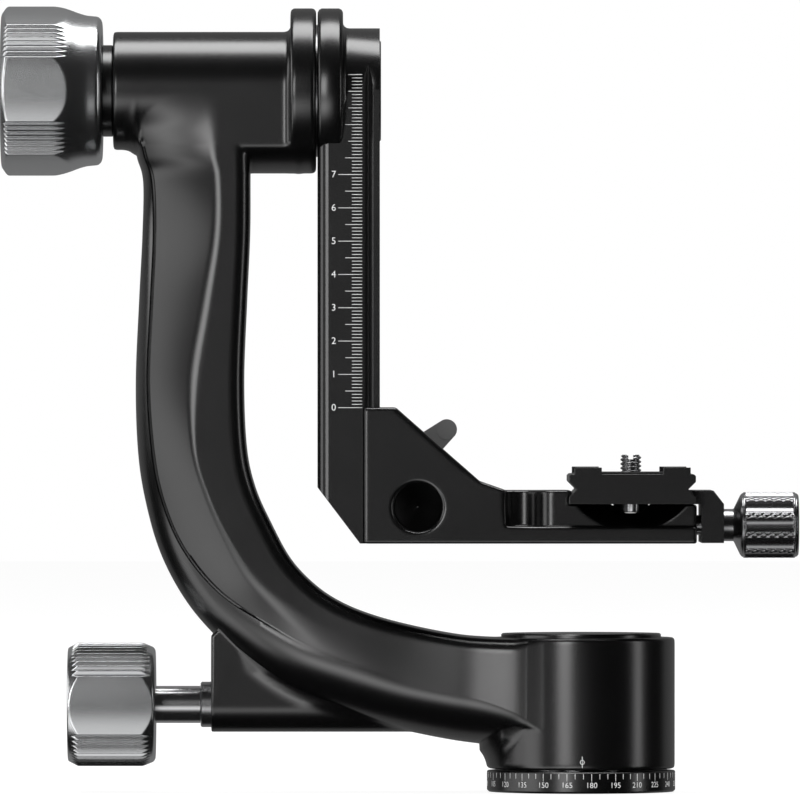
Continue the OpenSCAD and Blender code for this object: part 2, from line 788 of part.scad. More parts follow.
module tilt_bores() {
    translate([0, 0, tilt_z]) {
        rod_x(tube_x - through, disc_x + through, tube_bore);
        rod_x(tube_x - through, left_brg_x + tilt_brg_w, tilt_brg_r);
        rod_x(tube_x - through, tube_x + friction_t + 0.1, friction_r + running);
        rod_x(right_brg_x, disc_x + through, tilt_brg_r);
    }
}

// The lid's screws, grown by gap
module cap_screw_shapes(gap) {
    top = housing_top + cap_rise - 0.2;
    cap_screw_l = 4.8 * cap_screw_r;
    for (i = [0 : cap_screws_n - 1])
        rotate([0, 0, 90 + i * 360 / cap_screws_n])
            translate([(cap_r + pan_brg_r) / 2, 0, 0])
                turned_z([[0, top - cap_screw_l], [cap_screw_r + gap, top - cap_screw_l],
                          [cap_screw_r + gap, top - cap_screw_r], [2 * cap_screw_r + gap, top],
                          [0, top]]);
}

module pan_cap() {
    color(soft_black)
        difference() {
            turned_z([[0, cap_seat_z + seated], [cap_r, cap_seat_z + seated],
                      [cap_r, housing_top + cap_rise - 0.4], [cap_r - 0.4, housing_top + cap_rise],
                      [0, housing_top + cap_rise]]);
            cap_screw_shapes(seated);
            for (i = [0 : cap_screws_n - 1])
                rotate([0, 0, 90 + i * 360 / cap_screws_n])
                    translate([(cap_r + pan_brg_r) / 2, 0, housing_top + cap_rise - 0.2])
                        cylinder(h = through, r = 2 * cap_screw_r + seated);
        }
}

module pan_cap_screws() {
    color(steel)
        cap_screw_shapes(0);
}

module pan_lock_bush() {
    color(steel)
        translate([0, 0, lock_z])
            difference() {
                union() {
                    turned_x([[lock_bush_x, 0], [lock_bush_x, lock_bush_r - 0.4],
                              [lock_bush_x + 0.4, lock_bush_r], [boss_x - seated, lock_bush_r],
                              [boss_x - seated, 0]]);
                    rod_x(boss_x - 1, boss_x + lock_spigot_l, lock_bush_r - 0.85);
                }
                rod_x(lock_bush_x - through, boss_x + lock_spigot_l + through, lock_thread_r);
            }
}

module brake_push_rod() {
    color(steel)
        translate([0, 0, lock_z])
            rod_x(lock_thread_end + running, shoe_x - seated, lock_thread_r - running);
}

module brake_shoe() {
    color(brass)
        difference() {
            translate([0, 0, lock_z])
                rod_x(shoe_x, 0, shoe_r - running);
            translate([0, 0, lock_z - 2 * shoe_r])
                cylinder(h = 4 * shoe_r, r = spindle_r + running);
        }
}

module pan_lock_shaft() {
    color(silver)
        translate([0, 0, lock_z])
            difference() {
                union() {
                    rod_x(lock_knob_left + knob_floor, lock_shaft_x, lock_shaft_r);
                    rod_x(lock_shaft_x - 1, lock_thread_end, lock_thread_r - running);
                }
                rod_x(lock_knob_left + knob_floor - 1, lock_knob_left + knob_screw_l + 1, knob_screw_r + seated);
            }
}

module pan_lock_knob() {
    left = lock_knob_left;
    right = lock_knob_right;
    color(silver)
        translate([0, 0, lock_z])
            difference() {
                intersection() {
                    translate([left, 0, 0])
                        rotate([0, 90, 0])
                            linear_extrude(height = lock_knob_l)
                                polygon(ribbed_outline(lock_knob_r, lock_flats, lock_flat_half,
                                                       lock_grooves, 0.9));
                    turned_x([[left, 0], [left, lock_knob_r - 1.9], [left + 0.3, lock_knob_r - 1.5],
                              [left + 3.8, lock_knob_r + blank], [right - 4.6, lock_knob_r + blank],
                              [right - 0.4, lock_knob_r - 1.3], [right, lock_knob_r - 1.8],
                              [right, 0]]);
                }
                rod_x(left + knob_floor - seated, right + through, lock_shaft_r + seated);
                rod_x(left + knob_seat, left + knob_floor + 1, knob_screw_r + seated);
                rod_x(left - through, left + knob_seat + seated, knob_head_r + seated);
            }
}

module pan_knob_screw() {
    left = lock_knob_left;
    color(steel)
        translate([0, 0, lock_z])
            difference() {
                union() {
                    rod_x(left + 0.4, left + knob_seat, knob_head_r);
                    rod_x(left + 2, left + knob_screw_l, knob_screw_r);
                }
                rod_x(left, left + 1.6, 0.75 * knob_screw_r, $fn = 6);
            }
}

module swing_arm() {
    color(black)
        difference() {
            union() {
                rail_body();
                swing_disc();
            }
            rail_grooves();
            slab_y([[swing_x - 1, foot_z - 1], [swing_x - 1, foot_z + foot_bevel[1] * (1 + 1 / foot_bevel[0])],
                    [swing_x + foot_bevel[0] * (1 + 1 / foot_bevel[1]), foot_z - 1]],
                   -rail_half - 1, rail_half + 1);
            translate([0, 0, tilt_z]) {
                rod_x(swing_x - through, rail_x + through, axle_r + seated);
                rod_x(axle_head_x - seated, rail_x + through, axle_head_r + seated);
                rod_x(axle_cap_x - seated, rail_x + through, axle_cap_r + seated);
            }
            translate([0, 0, stop_pin_z])
                rod_x(rail_x - stop_in, rail_x + through, stop_r + seated);
        }
}

// The rail with its round top, before the grooves are cut
module rail_body() {
    translate([0, 0, foot_z])
        linear_extrude(height = rail_l)
            polygon(concat(
                [[rail_x, -rail_half], [rail_x, rail_half]],
                arc([swing_x + rail_edge, rail_half - rail_edge], rail_edge, 90, 180, 6),
                arc([swing_x + rail_edge, -rail_half + rail_edge], rail_edge, 180, 270, 6)));
    translate([0, 0, tilt_z])
        rod_x(swing_x + 0.4, rail_x, rail_half);
}

// The swing arm's pivot disc, with the fillet where the rail leaves it
module swing_disc() {
    fillet_r = 1.8;
    right = swing_x + swing_disc_w;
    translate([0, 0, tilt_z])
        turned_x(concat(
            [[swing_x, 0], [swing_x, disc_r - 1.2], [swing_x + 0.4, disc_r - 0.4],
             [swing_x + 1.2, disc_r], [right - 1.2, disc_r], [right - 0.4, disc_r - 0.4],
             [right, disc_r - 1.2]],
            arc([right + fillet_r, rail_half + fillet_r], fillet_r, 180, 270, 4),
            [[right + fillet_r, 0]]));
}

// The V grooves that leave the rail's dovetail flange
module rail_grooves() {
    for (side = [-1, 1])
        translate([0, 0, foot_z - through])
            linear_extrude(height = rail_l + 10 + through)
                polygon([[flange_left, side * (rail_half + 1)], [flange_left, side * rail_half],
                         [flange_left - groove_d, side * (rail_half - groove_d)],
                         [flange_left - 2 * groove_d, side * rail_half],
                         [flange_left - 2 * groove_d, side * (rail_half + 1)]]);
}

module tilt_axle() {
    color(steel)
        translate([0, 0, tilt_z])
            union() {
                rod_x(axle_end_x, axle_shoulder_x + 1, tilt_thread_r);
                rod_x(axle_shoulder_x, axle_head_x + 1, axle_r);
                rod_x(axle_head_x, axle_cap_x - seated, axle_head_r);
            }
}

module axle_cap() {
    right = rail_x + axle_cap_rise;
    color(black)
        translate([0, 0, tilt_z])
            turned_x([[axle_cap_x, 0], [axle_cap_x, axle_cap_r], [right - 0.3, axle_cap_r],
                      [right, axle_cap_r - 0.3], [right, 0]]);
}

module tilt_bearing_inner_races() {
    color(steel)
        for (x = tilt_bearings)
            translate([x, 0, tilt_z])
                rotate([0, 90, 0])
                    race(axle_r + seated, axle_r + tilt_race_t, tilt_brg_w, tilt_pitch_r, tilt_ball_r);
}

module tilt_bearing_outer_races() {
    color(steel)
        for (x = tilt_bearings)
            translate([x, 0, tilt_z])
                rotate([0, 90, 0])
                    race(tilt_brg_r - tilt_race_t, tilt_brg_r - seated, tilt_brg_w, tilt_pitch_r, tilt_ball_r);
}

module tilt_bearing_balls() {
    color(steel)
        for (x = tilt_bearings)
            translate([x, 0, tilt_z])
                rotate([0, 90, 0])
                    balls(tilt_balls_n, tilt_brg_w, tilt_pitch_r, tilt_ball_r);
}

module tilt_spacer() {
    color(steel)
        translate([0, 0, tilt_z])
            ring_x(left_brg_x + tilt_brg_w + seated, right_brg_x - seated, axle_r + seated, spacer_r);
}

module thrust_washer() {
    color(brass)
        translate([0, 0, tilt_z])
            ring_x(disc_x + running, swing_x - seated, axle_r + tilt_race_t, disc_r - 5);
}

module rail_stop_pin() {
    color(steel)
        translate([0, 0, stop_pin_z])
            rod_x(rail_x - stop_in + seated, rail_x + stop_out, stop_r);
}

module friction_washer() {
    color(brass)
        translate([0, 0, tilt_z])
            ring_x(tube_x + running, tube_x + friction_t, axle_r + tilt_race_t, friction_r);
}

module tilt_collar() {
    color(black)
        translate([0, 0, tilt_z])
            difference() {
                turned_x([[collar_left, 0], [collar_left, collar_r - 0.3], [collar_left + 0.3, collar_r],
                          [collar_right - 0.3, collar_r], [collar_right, collar_r - 0.3],
                          [collar_right, 0]]);
                rod_x(collar_left - through, collar_right + through, axle_r + running);
            }
}

module tilt_lock_knob() {
    left = tilt_knob_left;
    right = tilt_knob_right;
    waist = tilt_waist_r;
    color(silver)
        translate([0, 0, tilt_z])
            difference() {
                intersection() {
                    translate([left, 0, 0])
                        rotate([0, 90, 0])
                            linear_extrude(height = tilt_knob_l)
                                polygon(ribbed_outline(tilt_knob_r, tilt_flats, tilt_flat_half,
                                                       tilt_grooves, 0.95));
                    turned_x([[left, 0], [left, tilt_knob_r - 2.6], [left + 1.95, tilt_knob_r + blank],
                              [left + 15.6, tilt_knob_r + blank], [left + 19.5, tilt_knob_r - 0.7],
                              [left + 23.3, waist + 1], [left + 25.6, waist + 0.3],
                              [right - 1.2, waist], [right - 0.3, waist - 0.8], [right, waist - 1.6],
                              [right, 0]]);
                }
                rod_x(insert_x - insert_l - seated, right + through, insert_r + seated);
                rod_x(left + tilt_cap_t, right, axle_r);
                rod_x(left - through, left + tilt_cap_t + seated, tilt_cap_r + seated);
            }
}

module tilt_knob_insert() {
    color(steel)
        translate([0, 0, tilt_z])
            ring_x(insert_x - insert_l, insert_x, tilt_thread_r + running, insert_r);
}

module tilt_knob_cap() {
    left = tilt_knob_left + 0.3;
    color(soft_black)
        translate([0, 0, tilt_z])
            turned_x([[left, 0], [left, tilt_cap_r - 0.4], [left + 0.4, tilt_cap_r],
                      [tilt_knob_left + tilt_cap_t, tilt_cap_r], [tilt_knob_left + tilt_cap_t, 0]]);
}

// The bracket's side outline: lips, slope, deck, fixed jaw and seat
function bracket_outline() =
    concat(
        [[lip_x, foot_z], [lip_x, bracket_top], [lip_x + bracket_top_w, bracket_top],
         [slope_x, slope_z]],
        [for (t = [0.25, 0.5, 0.75])
            let (turn = 90 * t)
            [slope_x + (deck_x - slope_x) * sin(turn), jaw_z + (slope_z - jaw_z) * (1 - sin(turn))]],
        [[deck_x, jaw_z], [clamp_x - jaw_inner + nose_in, jaw_z], [clamp_x - jaw_inner + nose_in, nose_z],
         [clamp_x - jaw_inner, nose_z - nose_in], [clamp_x - jaw_inner, seat_z],
         [bracket_right, seat_z], [bracket_right, foot_z]]);

// The rail's section grown by the sliding gap, for the bracket's channel
module rail_channel() {
    mouth_y = tooth_y + tooth_x - lip_x + 1;
    translate([0, 0, foot_z - through])
        linear_extrude(height = bracket_h + 2 * through)
            polygon([[rail_x + sliding, -channel_half], [rail_x + sliding, channel_half],
                     [tooth_x + channel_half - tooth_y, channel_half], [tooth_x, tooth_y],
                     [lip_x - 1, mouth_y], [lip_x - 1, -mouth_y],
                     [tooth_x, -tooth_y], [tooth_x + channel_half - tooth_y, -channel_half]]);
}

module platform_bracket() {
    color(black)
        difference() {
            union() {
                slab_y(bracket_outline(), -bracket_half, bracket_half);
                translate([lever_x, 0, lever_z])
                    rod_y(bracket_half - 1, boss_face, lever_hub_r);
            }
            rail_channel();
            gib_pocket();
            stop_slot();
            finger_pockets();
            clamp_cuts();
            sight_hole();
            translate([lever_x, 0, lever_z])
                rod_y(channel_half, boss_face + through, lever_screw_r + running);
        }
}

module gib_pocket() {
    translate([lip_x - 1, channel_half - 1.6, lever_z - gib_h / 2 - sliding])
        cube([gib_right + sliding - lip_x + 1, gib_back + sliding + 0.3 - channel_half + 1.6,
              gib_h + 2 * sliding]);
}

module stop_slot() {
    translate([rail_x, -stop_slot_r, foot_z - through])
        cube([stop_out + sliding, 2 * stop_slot_r, stop_up + through]);
    translate([0, 0, stop_pin_z])
        rod_x(rail_x, rail_x + stop_out + sliding, stop_slot_r);
}

// The rounded pockets before the fixed jaw, front and back
module finger_pockets() {
    pocket_end = bracket_half - pocket_d + pocket_w / 2;
    for (side = [-1, 1])
        translate([deck_x + pocket_w / 2, side * pocket_end, foot_z + bottom_t])
            cylinder(h = bracket_h, r = pocket_w / 2);
    for (side = [-1, 1])
        translate([deck_x, side > 0 ? pocket_end : -bracket_half - through, foot_z + bottom_t])
            cube([pocket_w, bracket_half + through - pocket_end, bracket_h]);
}

module clamp_cuts() {
    rise = seat_h - bottom_t;
    for (side = [-1, 1])
        translate([clamp_x, side * bracket_half, foot_z + bottom_t])
            turned_z([[0, 0], [0.42 * scoop_r, 0], [0.66 * scoop_r, 0.25 * rise],
                      [0.8 * scoop_r, 0.5 * rise], [scoop_r, rise], [scoop_r, rise + 0.05],
                      [0, rise + 0.05]]);
    translate([clamp_x, 0, head_floor])
        cylinder(h = seat_z + 0.05 - head_floor, r = camera_head_r + plate_travel + 0.2);
    translate([0, 0, clamp_z])
        rod_x(clamp_screw_end - 1, bracket_right + through, clamp_screw_r + running);
    for (side = [-1, 1])
        translate([0, side * guide_out, clamp_z])
            rod_x(guide_start - 0.5, bracket_right + through, guide_r + running);
}

module sight_hole() {
    translate([rail_x + sight_at[0], 0, foot_z + sight_at[1]]) {
        rod_y(-bracket_half - through, -bracket_half + sight_d, sight_r);
        translate([0, -bracket_half, 0])
            rotate([-90, 0, 0])
                translate([0, 0, -0.5])
                    cylinder(h = 1.2, r1 = sight_r + 1.2, r2 = sight_r);
    }
}

module rail_gib() {
    color(steel)
        translate([0, 0, lever_z - gib_h / 2])
            linear_extrude(height = gib_h)
                polygon([[gib_right, channel_half], [gib_right, gib_back], [lip_x, gib_back],
                         [lip_x, tooth_y + tooth_x - lip_x], [tooth_x, tooth_y],
                         [tooth_x + channel_half - tooth_y, channel_half]]);
}

// The lever's outline about its axis: a hub and a smaller round end
module height_lever() {
    spread = acos((lever_hub_r - lever_end_r) / lever_l);
    tip = [lever_l, 0];
    color(grey)
        translate([lever_x, lever_face, lever_z])
            rotate([0, -lever_angle, 0])
                difference() {
                    union() {
                        slab_y([lever_hub_r * [cos(spread), sin(spread)],
                                lever_hub_r * [cos(spread), -sin(spread)],
                                tip + lever_end_r * [cos(spread), -sin(spread)],
                                tip + lever_end_r * [cos(spread), sin(spread)]], 0.8, lever_t - 0.8);
                        rod_y(0, lever_t, lever_hub_r);
                        translate([lever_l, 0, 0])
                            rod_y(0.4, lever_t - 0.4, lever_end_r);
                    }
                    rod_y(-through, lever_t + through, lever_screw_r + seated);
                }
}

module lever_screw() {
    head = lever_face + lever_t;
    color(steel)
        translate([lever_x, 0, lever_z])
            difference() {
                union() {
                    rod_y(gib_back + running, head + 1, lever_screw_r);
                    rod_y(head + seated, head + 3, 1.6 * lever_screw_r);
                }
                rod_y(head + 1, head + 4, 1.6, $fn = 6);
            }
}

module moving_jaw() {
    half = bracket_half;
    color(black)
        difference() {
            slab_y([[clamp_x + jaw_inner - nose_in, jaw_z], [clamp_x + jaw_inner - nose_in, nose_z],
                    [clamp_x + jaw_inner, nose_z - nose_in], [clamp_x + jaw_inner, seat_z + sliding],
                    [jaw_x, seat_z + sliding], [jaw_x, foot_z + 0.2], [jaw_right, foot_z + 0.2],
                    [jaw_right, jaw_z - 4], [jaw_right - 3.1, jaw_z]], -half, half);
            translate([0, 0, clamp_z])
                rod_x(jaw_x - through, jaw_right + through, clamp_screw_r + running);
            for (side = [-1, 1])
                translate([0, side * guide_out, clamp_z])
                    rod_x(jaw_x - through, jaw_right - pin_wall, guide_r + seated);
        }
}

module guide_pins() {
    color(steel)
        for (side = [-1, 1])
            translate([0, side * guide_out, clamp_z])
                rod_x(guide_start, jaw_right - pin_wall - seated, guide_r);
}

module clamp_screw() {
    color(steel)
        translate([0, 0, clamp_z])
            rod_x(clamp_screw_end, clamp_screw_right, clamp_screw_r);
}

module clamp_knob() {
    right = clamp_knob_right;
    cone_end = clamp_cone_x + clamp_cone_l;
    flute_r = 3.6;
    color(dark_chrome)
        translate([0, 0, clamp_z])
            difference() {
                turned_x([[clamp_neck_x, 0], [clamp_neck_x, clamp_neck_r], [clamp_cone_x, clamp_neck_r],
                          [cone_end, clamp_knob_r - 0.9], [cone_end + 0.6, clamp_knob_r - 0.4],
                          [cone_end + 1.6, clamp_knob_r - 0.4], [cone_end + 2, clamp_knob_r],
                          [right - 2, clamp_knob_r], [right - 1.6, clamp_knob_r - 0.4],
                          [right - 0.6, clamp_knob_r - 0.4], [right, clamp_knob_r - 1], [right, 0]]);
                rod_x(clamp_neck_x - through, clamp_screw_right + seated, clamp_screw_r + seated);
                for (i = [0 : clamp_flutes - 1])
                    rotate([i * 360 / clamp_flutes, 0, 0])
                        translate([0, 0, clamp_knob_r + flute_r - 1.1])
                            rod_x(cone_end + 1.4, right - 1.4, flute_r);
            }
}

// The plate's side outline: straight edge, dovetail, waist and upper flange
function plate_outline() =
    let (half = [[plate_half, plate_z], [plate_half, plate_z + edge_h],
                 [plate_half - dovetail_d, waist_z], [plate_half, waist_z + dovetail_d],
                 [plate_half, plate_top - 0.6], [plate_half - 0.6, plate_top]])
    concat([for (p = half) [clamp_x + p[0], p[1]]],
           [for (i = [len(half) - 1 : -1 : 0]) [clamp_x - half[i][0], half[i][1]]]);

module qr_plate() {
    color(black)
        difference() {
            union() {
                slab_y(plate_outline(), -plate_l / 2, plate_l / 2);
                for (side = [-1, 1], end = [-1, 1])
                    translate([clamp_x + side * (ear_span[0] + ear_span[1]) / 2,
                               end * (plate_l / 2 - 1.2), plate_top + ear_h / 2 - 0.5])
                        cube([ear_span[1] - ear_span[0], 2.4, ear_h + 1], center = true);
            }
            translate([clamp_x, 0, plate_z - through])
                cylinder(h = plate_top - plate_z + 2 * through, r = camera_screw_r + running);
            for (side = [-1, 1])
                translate([clamp_x, side * plate_stop_y, plate_z - through])
                    cylinder(h = plate_stop_up + through, r = plate_stop_r + seated);
            plate_pad_shapes(seated);
        }
}

// The two rubber strips, each side of the camera screw, let into the plate and grown by gap
module plate_pad_shapes(gap) {
    inner = camera_screw_r + 4;
    outer = plate_l / 2 - 3.4;
    for (side = [-1, 1])
        translate([clamp_x - plate_half + 4 - gap, side > 0 ? inner - gap : -outer - gap,
                   plate_top - 0.6 - gap])
            cube([plate_w - 8 + 2 * gap, outer - inner + 2 * gap, pad_rise + 0.6 + 2 * gap]);
}

module plate_pads() {
    color(soft_black)
        plate_pad_shapes(0);
}

module stop_pins() {
    color(steel)
        for (side = [-1, 1])
            translate([clamp_x, side * plate_stop_y, plate_z - plate_stop_down])
                cylinder(h = plate_stop_down + plate_stop_up - seated, r = plate_stop_r);
}

module camera_screw() {
    color(steel)
        translate([clamp_x, 0, 0])
            difference() {
                union() {
                    translate([0, 0, head_top - camera_head_t])
                        cylinder(h = camera_head_t, r = camera_head_r);
                    translate([0, 0, head_top - 1])
                        cylinder(h = plate_top + camera_screw_up - head_top, r = camera_neck_r);
                    translate([0, 0, plate_top + neck_up])
                        cylinder(h = camera_screw_up - neck_up, r = camera_screw_r);
                }
                translate([-0.8, -camera_head_r - 1, head_top - camera_head_t - through])
                    cube([1.6, 2 * camera_head_r + 2, 1.3 + through]);
            }
}

graduated_base();
thread_bush();
base_screws();
pan_spindle();
pan_bearing_inner_races();
pan_washer();
pan_nut();
main_arm();
pan_bearing_outer_races();
pan_bearing_balls();
pan_cap();
pan_cap_screws();
pan_lock_bush();
tilt_bearing_outer_races();
tilt_bearing_balls();
friction_washer();
brake_push_rod();
brake_shoe();
pan_lock_shaft();
pan_lock_knob();
pan_knob_screw();
swing_arm();
tilt_axle();
axle_cap();
tilt_bearing_inner_races();
tilt_spacer();
thrust_washer();
rail_stop_pin();
tilt_collar();
tilt_lock_knob();
tilt_knob_insert();
tilt_knob_cap();
platform_bracket();
rail_gib();
height_lever();
lever_screw();
moving_jaw();
guide_pins();
clamp_screw();
clamp_knob();
qr_plate();
plate_pads();
stop_pins();
camera_screw();
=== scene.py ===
# %% [markdown]
# # A gimbal tripod head
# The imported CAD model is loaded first, and it fixes every size and place. All the work below gives
# it a better surface: finer meshes where the real head has soft shapes, knurls and numbers, and
# node materials for its black, silver and chrome finishes.

# %% Load the frame
import bmesh
import bpy
import math
import numpy as np
import openvdb
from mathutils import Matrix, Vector


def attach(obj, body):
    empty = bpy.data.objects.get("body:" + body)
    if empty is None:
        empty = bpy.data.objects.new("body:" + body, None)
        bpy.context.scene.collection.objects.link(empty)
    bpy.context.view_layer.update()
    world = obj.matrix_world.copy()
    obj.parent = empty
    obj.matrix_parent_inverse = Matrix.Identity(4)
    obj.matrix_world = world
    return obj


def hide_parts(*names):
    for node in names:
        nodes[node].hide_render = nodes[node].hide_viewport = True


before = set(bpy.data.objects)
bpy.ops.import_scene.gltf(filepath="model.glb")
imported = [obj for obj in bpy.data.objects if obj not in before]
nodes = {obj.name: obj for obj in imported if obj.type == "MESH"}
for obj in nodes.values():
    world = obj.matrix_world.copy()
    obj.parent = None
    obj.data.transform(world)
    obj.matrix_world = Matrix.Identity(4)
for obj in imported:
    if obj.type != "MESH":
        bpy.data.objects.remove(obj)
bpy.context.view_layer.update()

# %% [markdown]
# The model's places are easier to read in millimetres, and the drawing is in millimetres too, so
# the helpers take millimetres and turn them into Blender's metres. The few places that the pieces
# share are named once, by what they are on the real head.

# %% Shared places
MM = 0.001
TILT_Z = 211.2
LOCK_Z = 26.2
CLAMP_X, CLAMP_Z = 15.0, 80.3
HOUSING_R, HOUSING_Z, HOUSING_TOP = 28.25, 6.9, 46.5
print("tilt axis at", TILT_Z, "mm, lock axis at", LOCK_Z, "mm")

# %% [markdown]
# The photograph is taken from straight ahead with a long lens, so near and far parts look almost
# equally large. A camera 4.2 m away with a very long lens gives that view. Its height and side
# shift put the middle of the picture on the middle of the head.

# %% Camera
CAMERA_PLACE, LENS = (-0.0546, -4.2, 0.118), 626.7
camera = bpy.data.objects.new("camera", bpy.data.cameras.new("camera"))
bpy.context.scene.collection.objects.link(camera)
camera.location = CAMERA_PLACE
camera.rotation_euler = (math.radians(90), 0, 0)
camera.data.lens = LENS
camera.data.clip_end = 50
bpy.context.scene.camera = camera
bpy.context.scene.view_settings.view_transform = "Standard"
print("camera", tuple(camera.location), "lens", camera.data.lens)

# %% [markdown]
# Glossy black metal shows hardly any colour of its own: what the eye reads are the reflections of
# the lamps. So each lamp is a soft rectangle, placed where the real head shows its bright bands.
# An area lamp's brightness is its power over four times its area, which the helper works out.

# %% Lamps
def softbox(name, place, target, width, height, brightness, in_reflections=True):
    lamp = bpy.data.lights.new(name, "AREA")
    lamp.shape, lamp.size, lamp.size_y = "RECTANGLE", width, height
    lamp.energy = 4 * width * height * brightness
    box = bpy.data.objects.new(name, lamp)
    bpy.context.scene.collection.objects.link(box)
    box.location = place
    box.rotation_euler = (Vector(target) - Vector(place)).to_track_quat("-Z", "Y").to_euler()
    box.visible_camera = False
    box.visible_glossy = in_reflections
    print("lamp", name, "power", round(lamp.energy, 1), "W")
    return box


CENTRE = (-0.055, 0.0, 0.12)
softbox("overhead", (-0.055, 0.2, 3.1), CENTRE, 3.0, 1.6, 3.7)
softbox("front_left", (-1.07, -2.79, 0.54), CENTRE, 0.85, 1.25, 2.6)
softbox("right_strip", (2.83, -0.83, 0.15), CENTRE, 0.5, 2.0, 1.25)
softbox("left_wall", (-3.04, 0.1, 0.85), CENTRE, 1.7, 1.9, 1.3)
softbox("left_front", (-2.75, -1.35, -0.3), CENTRE, 1.3, 3.6, 0.8)
softbox("front_fill", (0.4, -3.6, 1.2), CENTRE, 2.0, 2.0, 4.0, in_reflections=False)

# %% [markdown]
# The background is white and plain. A world shader makes it white for the camera, and for
# reflections that look away behind the head, while the rest of the room stays dark, as in a studio
# with black flags. That dark room is what makes the black metal look deep. One soft card low in
# front lights the surfaces that look down towards it.

# %% World
world = bpy.data.worlds.new("studio")
bpy.context.scene.world = world
world.use_nodes = True
tree = world.node_tree
tree.nodes.clear()
output = tree.nodes.new("ShaderNodeOutputWorld")
background = tree.nodes.new("ShaderNodeBackground")
background.inputs["Color"].default_value = (1, 1, 1, 1)
tree.links.new(background.outputs["Background"], output.inputs["Surface"])


def world_math(operation, a, b=None, clamp=False):
    node = tree.nodes.new("ShaderNodeMath")
    node.operation = operation
    node.use_clamp = clamp
    for socket, value in zip(node.inputs, (a, b)):
        if isinstance(value, (int, float)):
            socket.default_value = value
        elif value is not None:
            tree.links.new(value, socket)
    return node.outputs[0]


path = tree.nodes.new("ShaderNodeLightPath")
ray = tree.nodes.new("ShaderNodeTexCoord")
axes = tree.nodes.new("ShaderNodeSeparateXYZ")
tree.links.new(ray.outputs["Generated"], axes.inputs[0])


def band(axis, shift, steepness):
    """1 where a ray's direction is -shift along the axis, and less and less on both sides."""
    away = world_math("ABSOLUTE", world_math("ADD", axes.outputs[axis], shift))
    return world_math("SUBTRACT", 1.0, world_math("MULTIPLY", away, steepness), clamp=True)


ROOM_LEVEL, BEHIND_LEVEL, CARD_LEVEL, FILL_LEVEL = 0.01, 0.18, 2.3, 0.35
behind = world_math("MULTIPLY", world_math("SUBTRACT", axes.outputs["Y"], 0.45), 8.0, clamp=True)
shiny = world_math("MAXIMUM", path.outputs["Is Glossy Ray"], path.outputs["Is Transmission Ray"])
front = world_math("MULTIPLY", axes.outputs["Y"], -5.0, clamp=True)
low_card = world_math("MULTIPLY", band("Z", 0.38, 3.5), band("X", 0.3, 2.0))
low_card = world_math("MULTIPLY", low_card, front)
soft_white = world_math("ADD", world_math("MULTIPLY", behind, BEHIND_LEVEL),
                        world_math("MULTIPLY", low_card, CARD_LEVEL))
in_metal = world_math("MULTIPLY", world_math("ADD", soft_white, ROOM_LEVEL), shiny)
diffuse = world_math("MULTIPLY", path.outputs["Is Diffuse Ray"], FILL_LEVEL)
level = world_math("ADD", world_math("ADD", path.outputs["Is Camera Ray"], in_metal), diffuse)
tree.links.new(level, background.inputs["Strength"])
print("world nodes", len(tree.nodes))

# %% [markdown]
# The floor is a large pale sheet under the base. It looks as white as the background because most
# of what the camera sees of it is its own light, and the rest still takes the head's soft shadow.

# %% Floor
FLOOR_GLOW, GLOW_SHARE = 1.2, 0.75


def wire(tree, *pairs):
    """Links each pair of an output and an input."""
    for source, target in pairs:
        tree.links.new(source, target)


floor_mesh = bpy.data.meshes.new("floor")
floor_mesh.from_pydata([(-6, -6, 0), (6, -6, 0), (6, 6, 0), (-6, 6, 0)], [], [(0, 1, 2, 3)])
floor = bpy.data.objects.new("floor", floor_mesh)
bpy.context.scene.collection.objects.link(floor)
floor.location.z = -0.0002
floor.visible_glossy = False
paper = bpy.data.materials.new("pale_paper")
paper.use_nodes = True
paper_tree = paper.node_tree
shader = paper_tree.nodes["Principled BSDF"]
shader.inputs["Base Color"].default_value = (0.8, 0.8, 0.8, 1)
shader.inputs["Roughness"].default_value = 0.9
glow = paper_tree.nodes.new("ShaderNodeEmission")
glow.inputs["Strength"].default_value = FLOOR_GLOW
mix = paper_tree.nodes.new("ShaderNodeMixShader")
seen = paper_tree.nodes.new("ShaderNodeLightPath")
share = paper_tree.nodes.new("ShaderNodeMath")
share.operation = "MULTIPLY"
share.inputs[1].default_value = GLOW_SHARE
wire(paper_tree, (seen.outputs["Is Camera Ray"], share.inputs[0]), (share.outputs[0], mix.inputs[0]),
     (shader.outputs[0], mix.inputs[1]), (glow.outputs[0], mix.inputs[2]),
     (mix.outputs[0], paper_tree.nodes["Material Output"].inputs["Surface"]))
floor_mesh.materials.append(paper)
print("floor 12 m square")

# %% [markdown]
# Anodised and turned metal is never perfectly even: it has a fine grain that breaks up the
# reflections a little, and wide, weak patches where the finish is more or less matt. Both effects
# serve every metal here, so they are one node group with named sockets that each material sets.

# %% Node group: metal skin
KINDS = {1: "NodeSocketFloat", 3: "NodeSocketVector", 4: "NodeSocketColor"}


def add_sockets(group, inputs, outputs):
    """Named sockets of a group. How many numbers a value holds tells the socket's kind."""
    for name, value in inputs.items():
        made = group.interface.new_socket(name=name, in_out="INPUT",
                                          socket_type=KINDS[np.size(value)])
        made.default_value = value
    for name, value in outputs.items():
        group.interface.new_socket(name=name, in_out="OUTPUT", socket_type=KINDS[np.size(value)])


skin = bpy.data.node_groups.new("metal_skin", "ShaderNodeTree")
add_sockets(skin, {"Tone": (0.5, 0.5, 0.5, 1), "Tone Spread": 0.05, "Roughness": 0.3,
                   "Patch Spread": 0.04, "Grain Size": 4000.0, "Grain Depth": 0.2},
            {"Color": (0, 0, 0, 1), "Roughness": 0.0, "Height": 0.0})


def group_node(group, kind, **settings):
    node = group.nodes.new(kind)
    for key, value in settings.items():
        setattr(node, key, value)
    return node


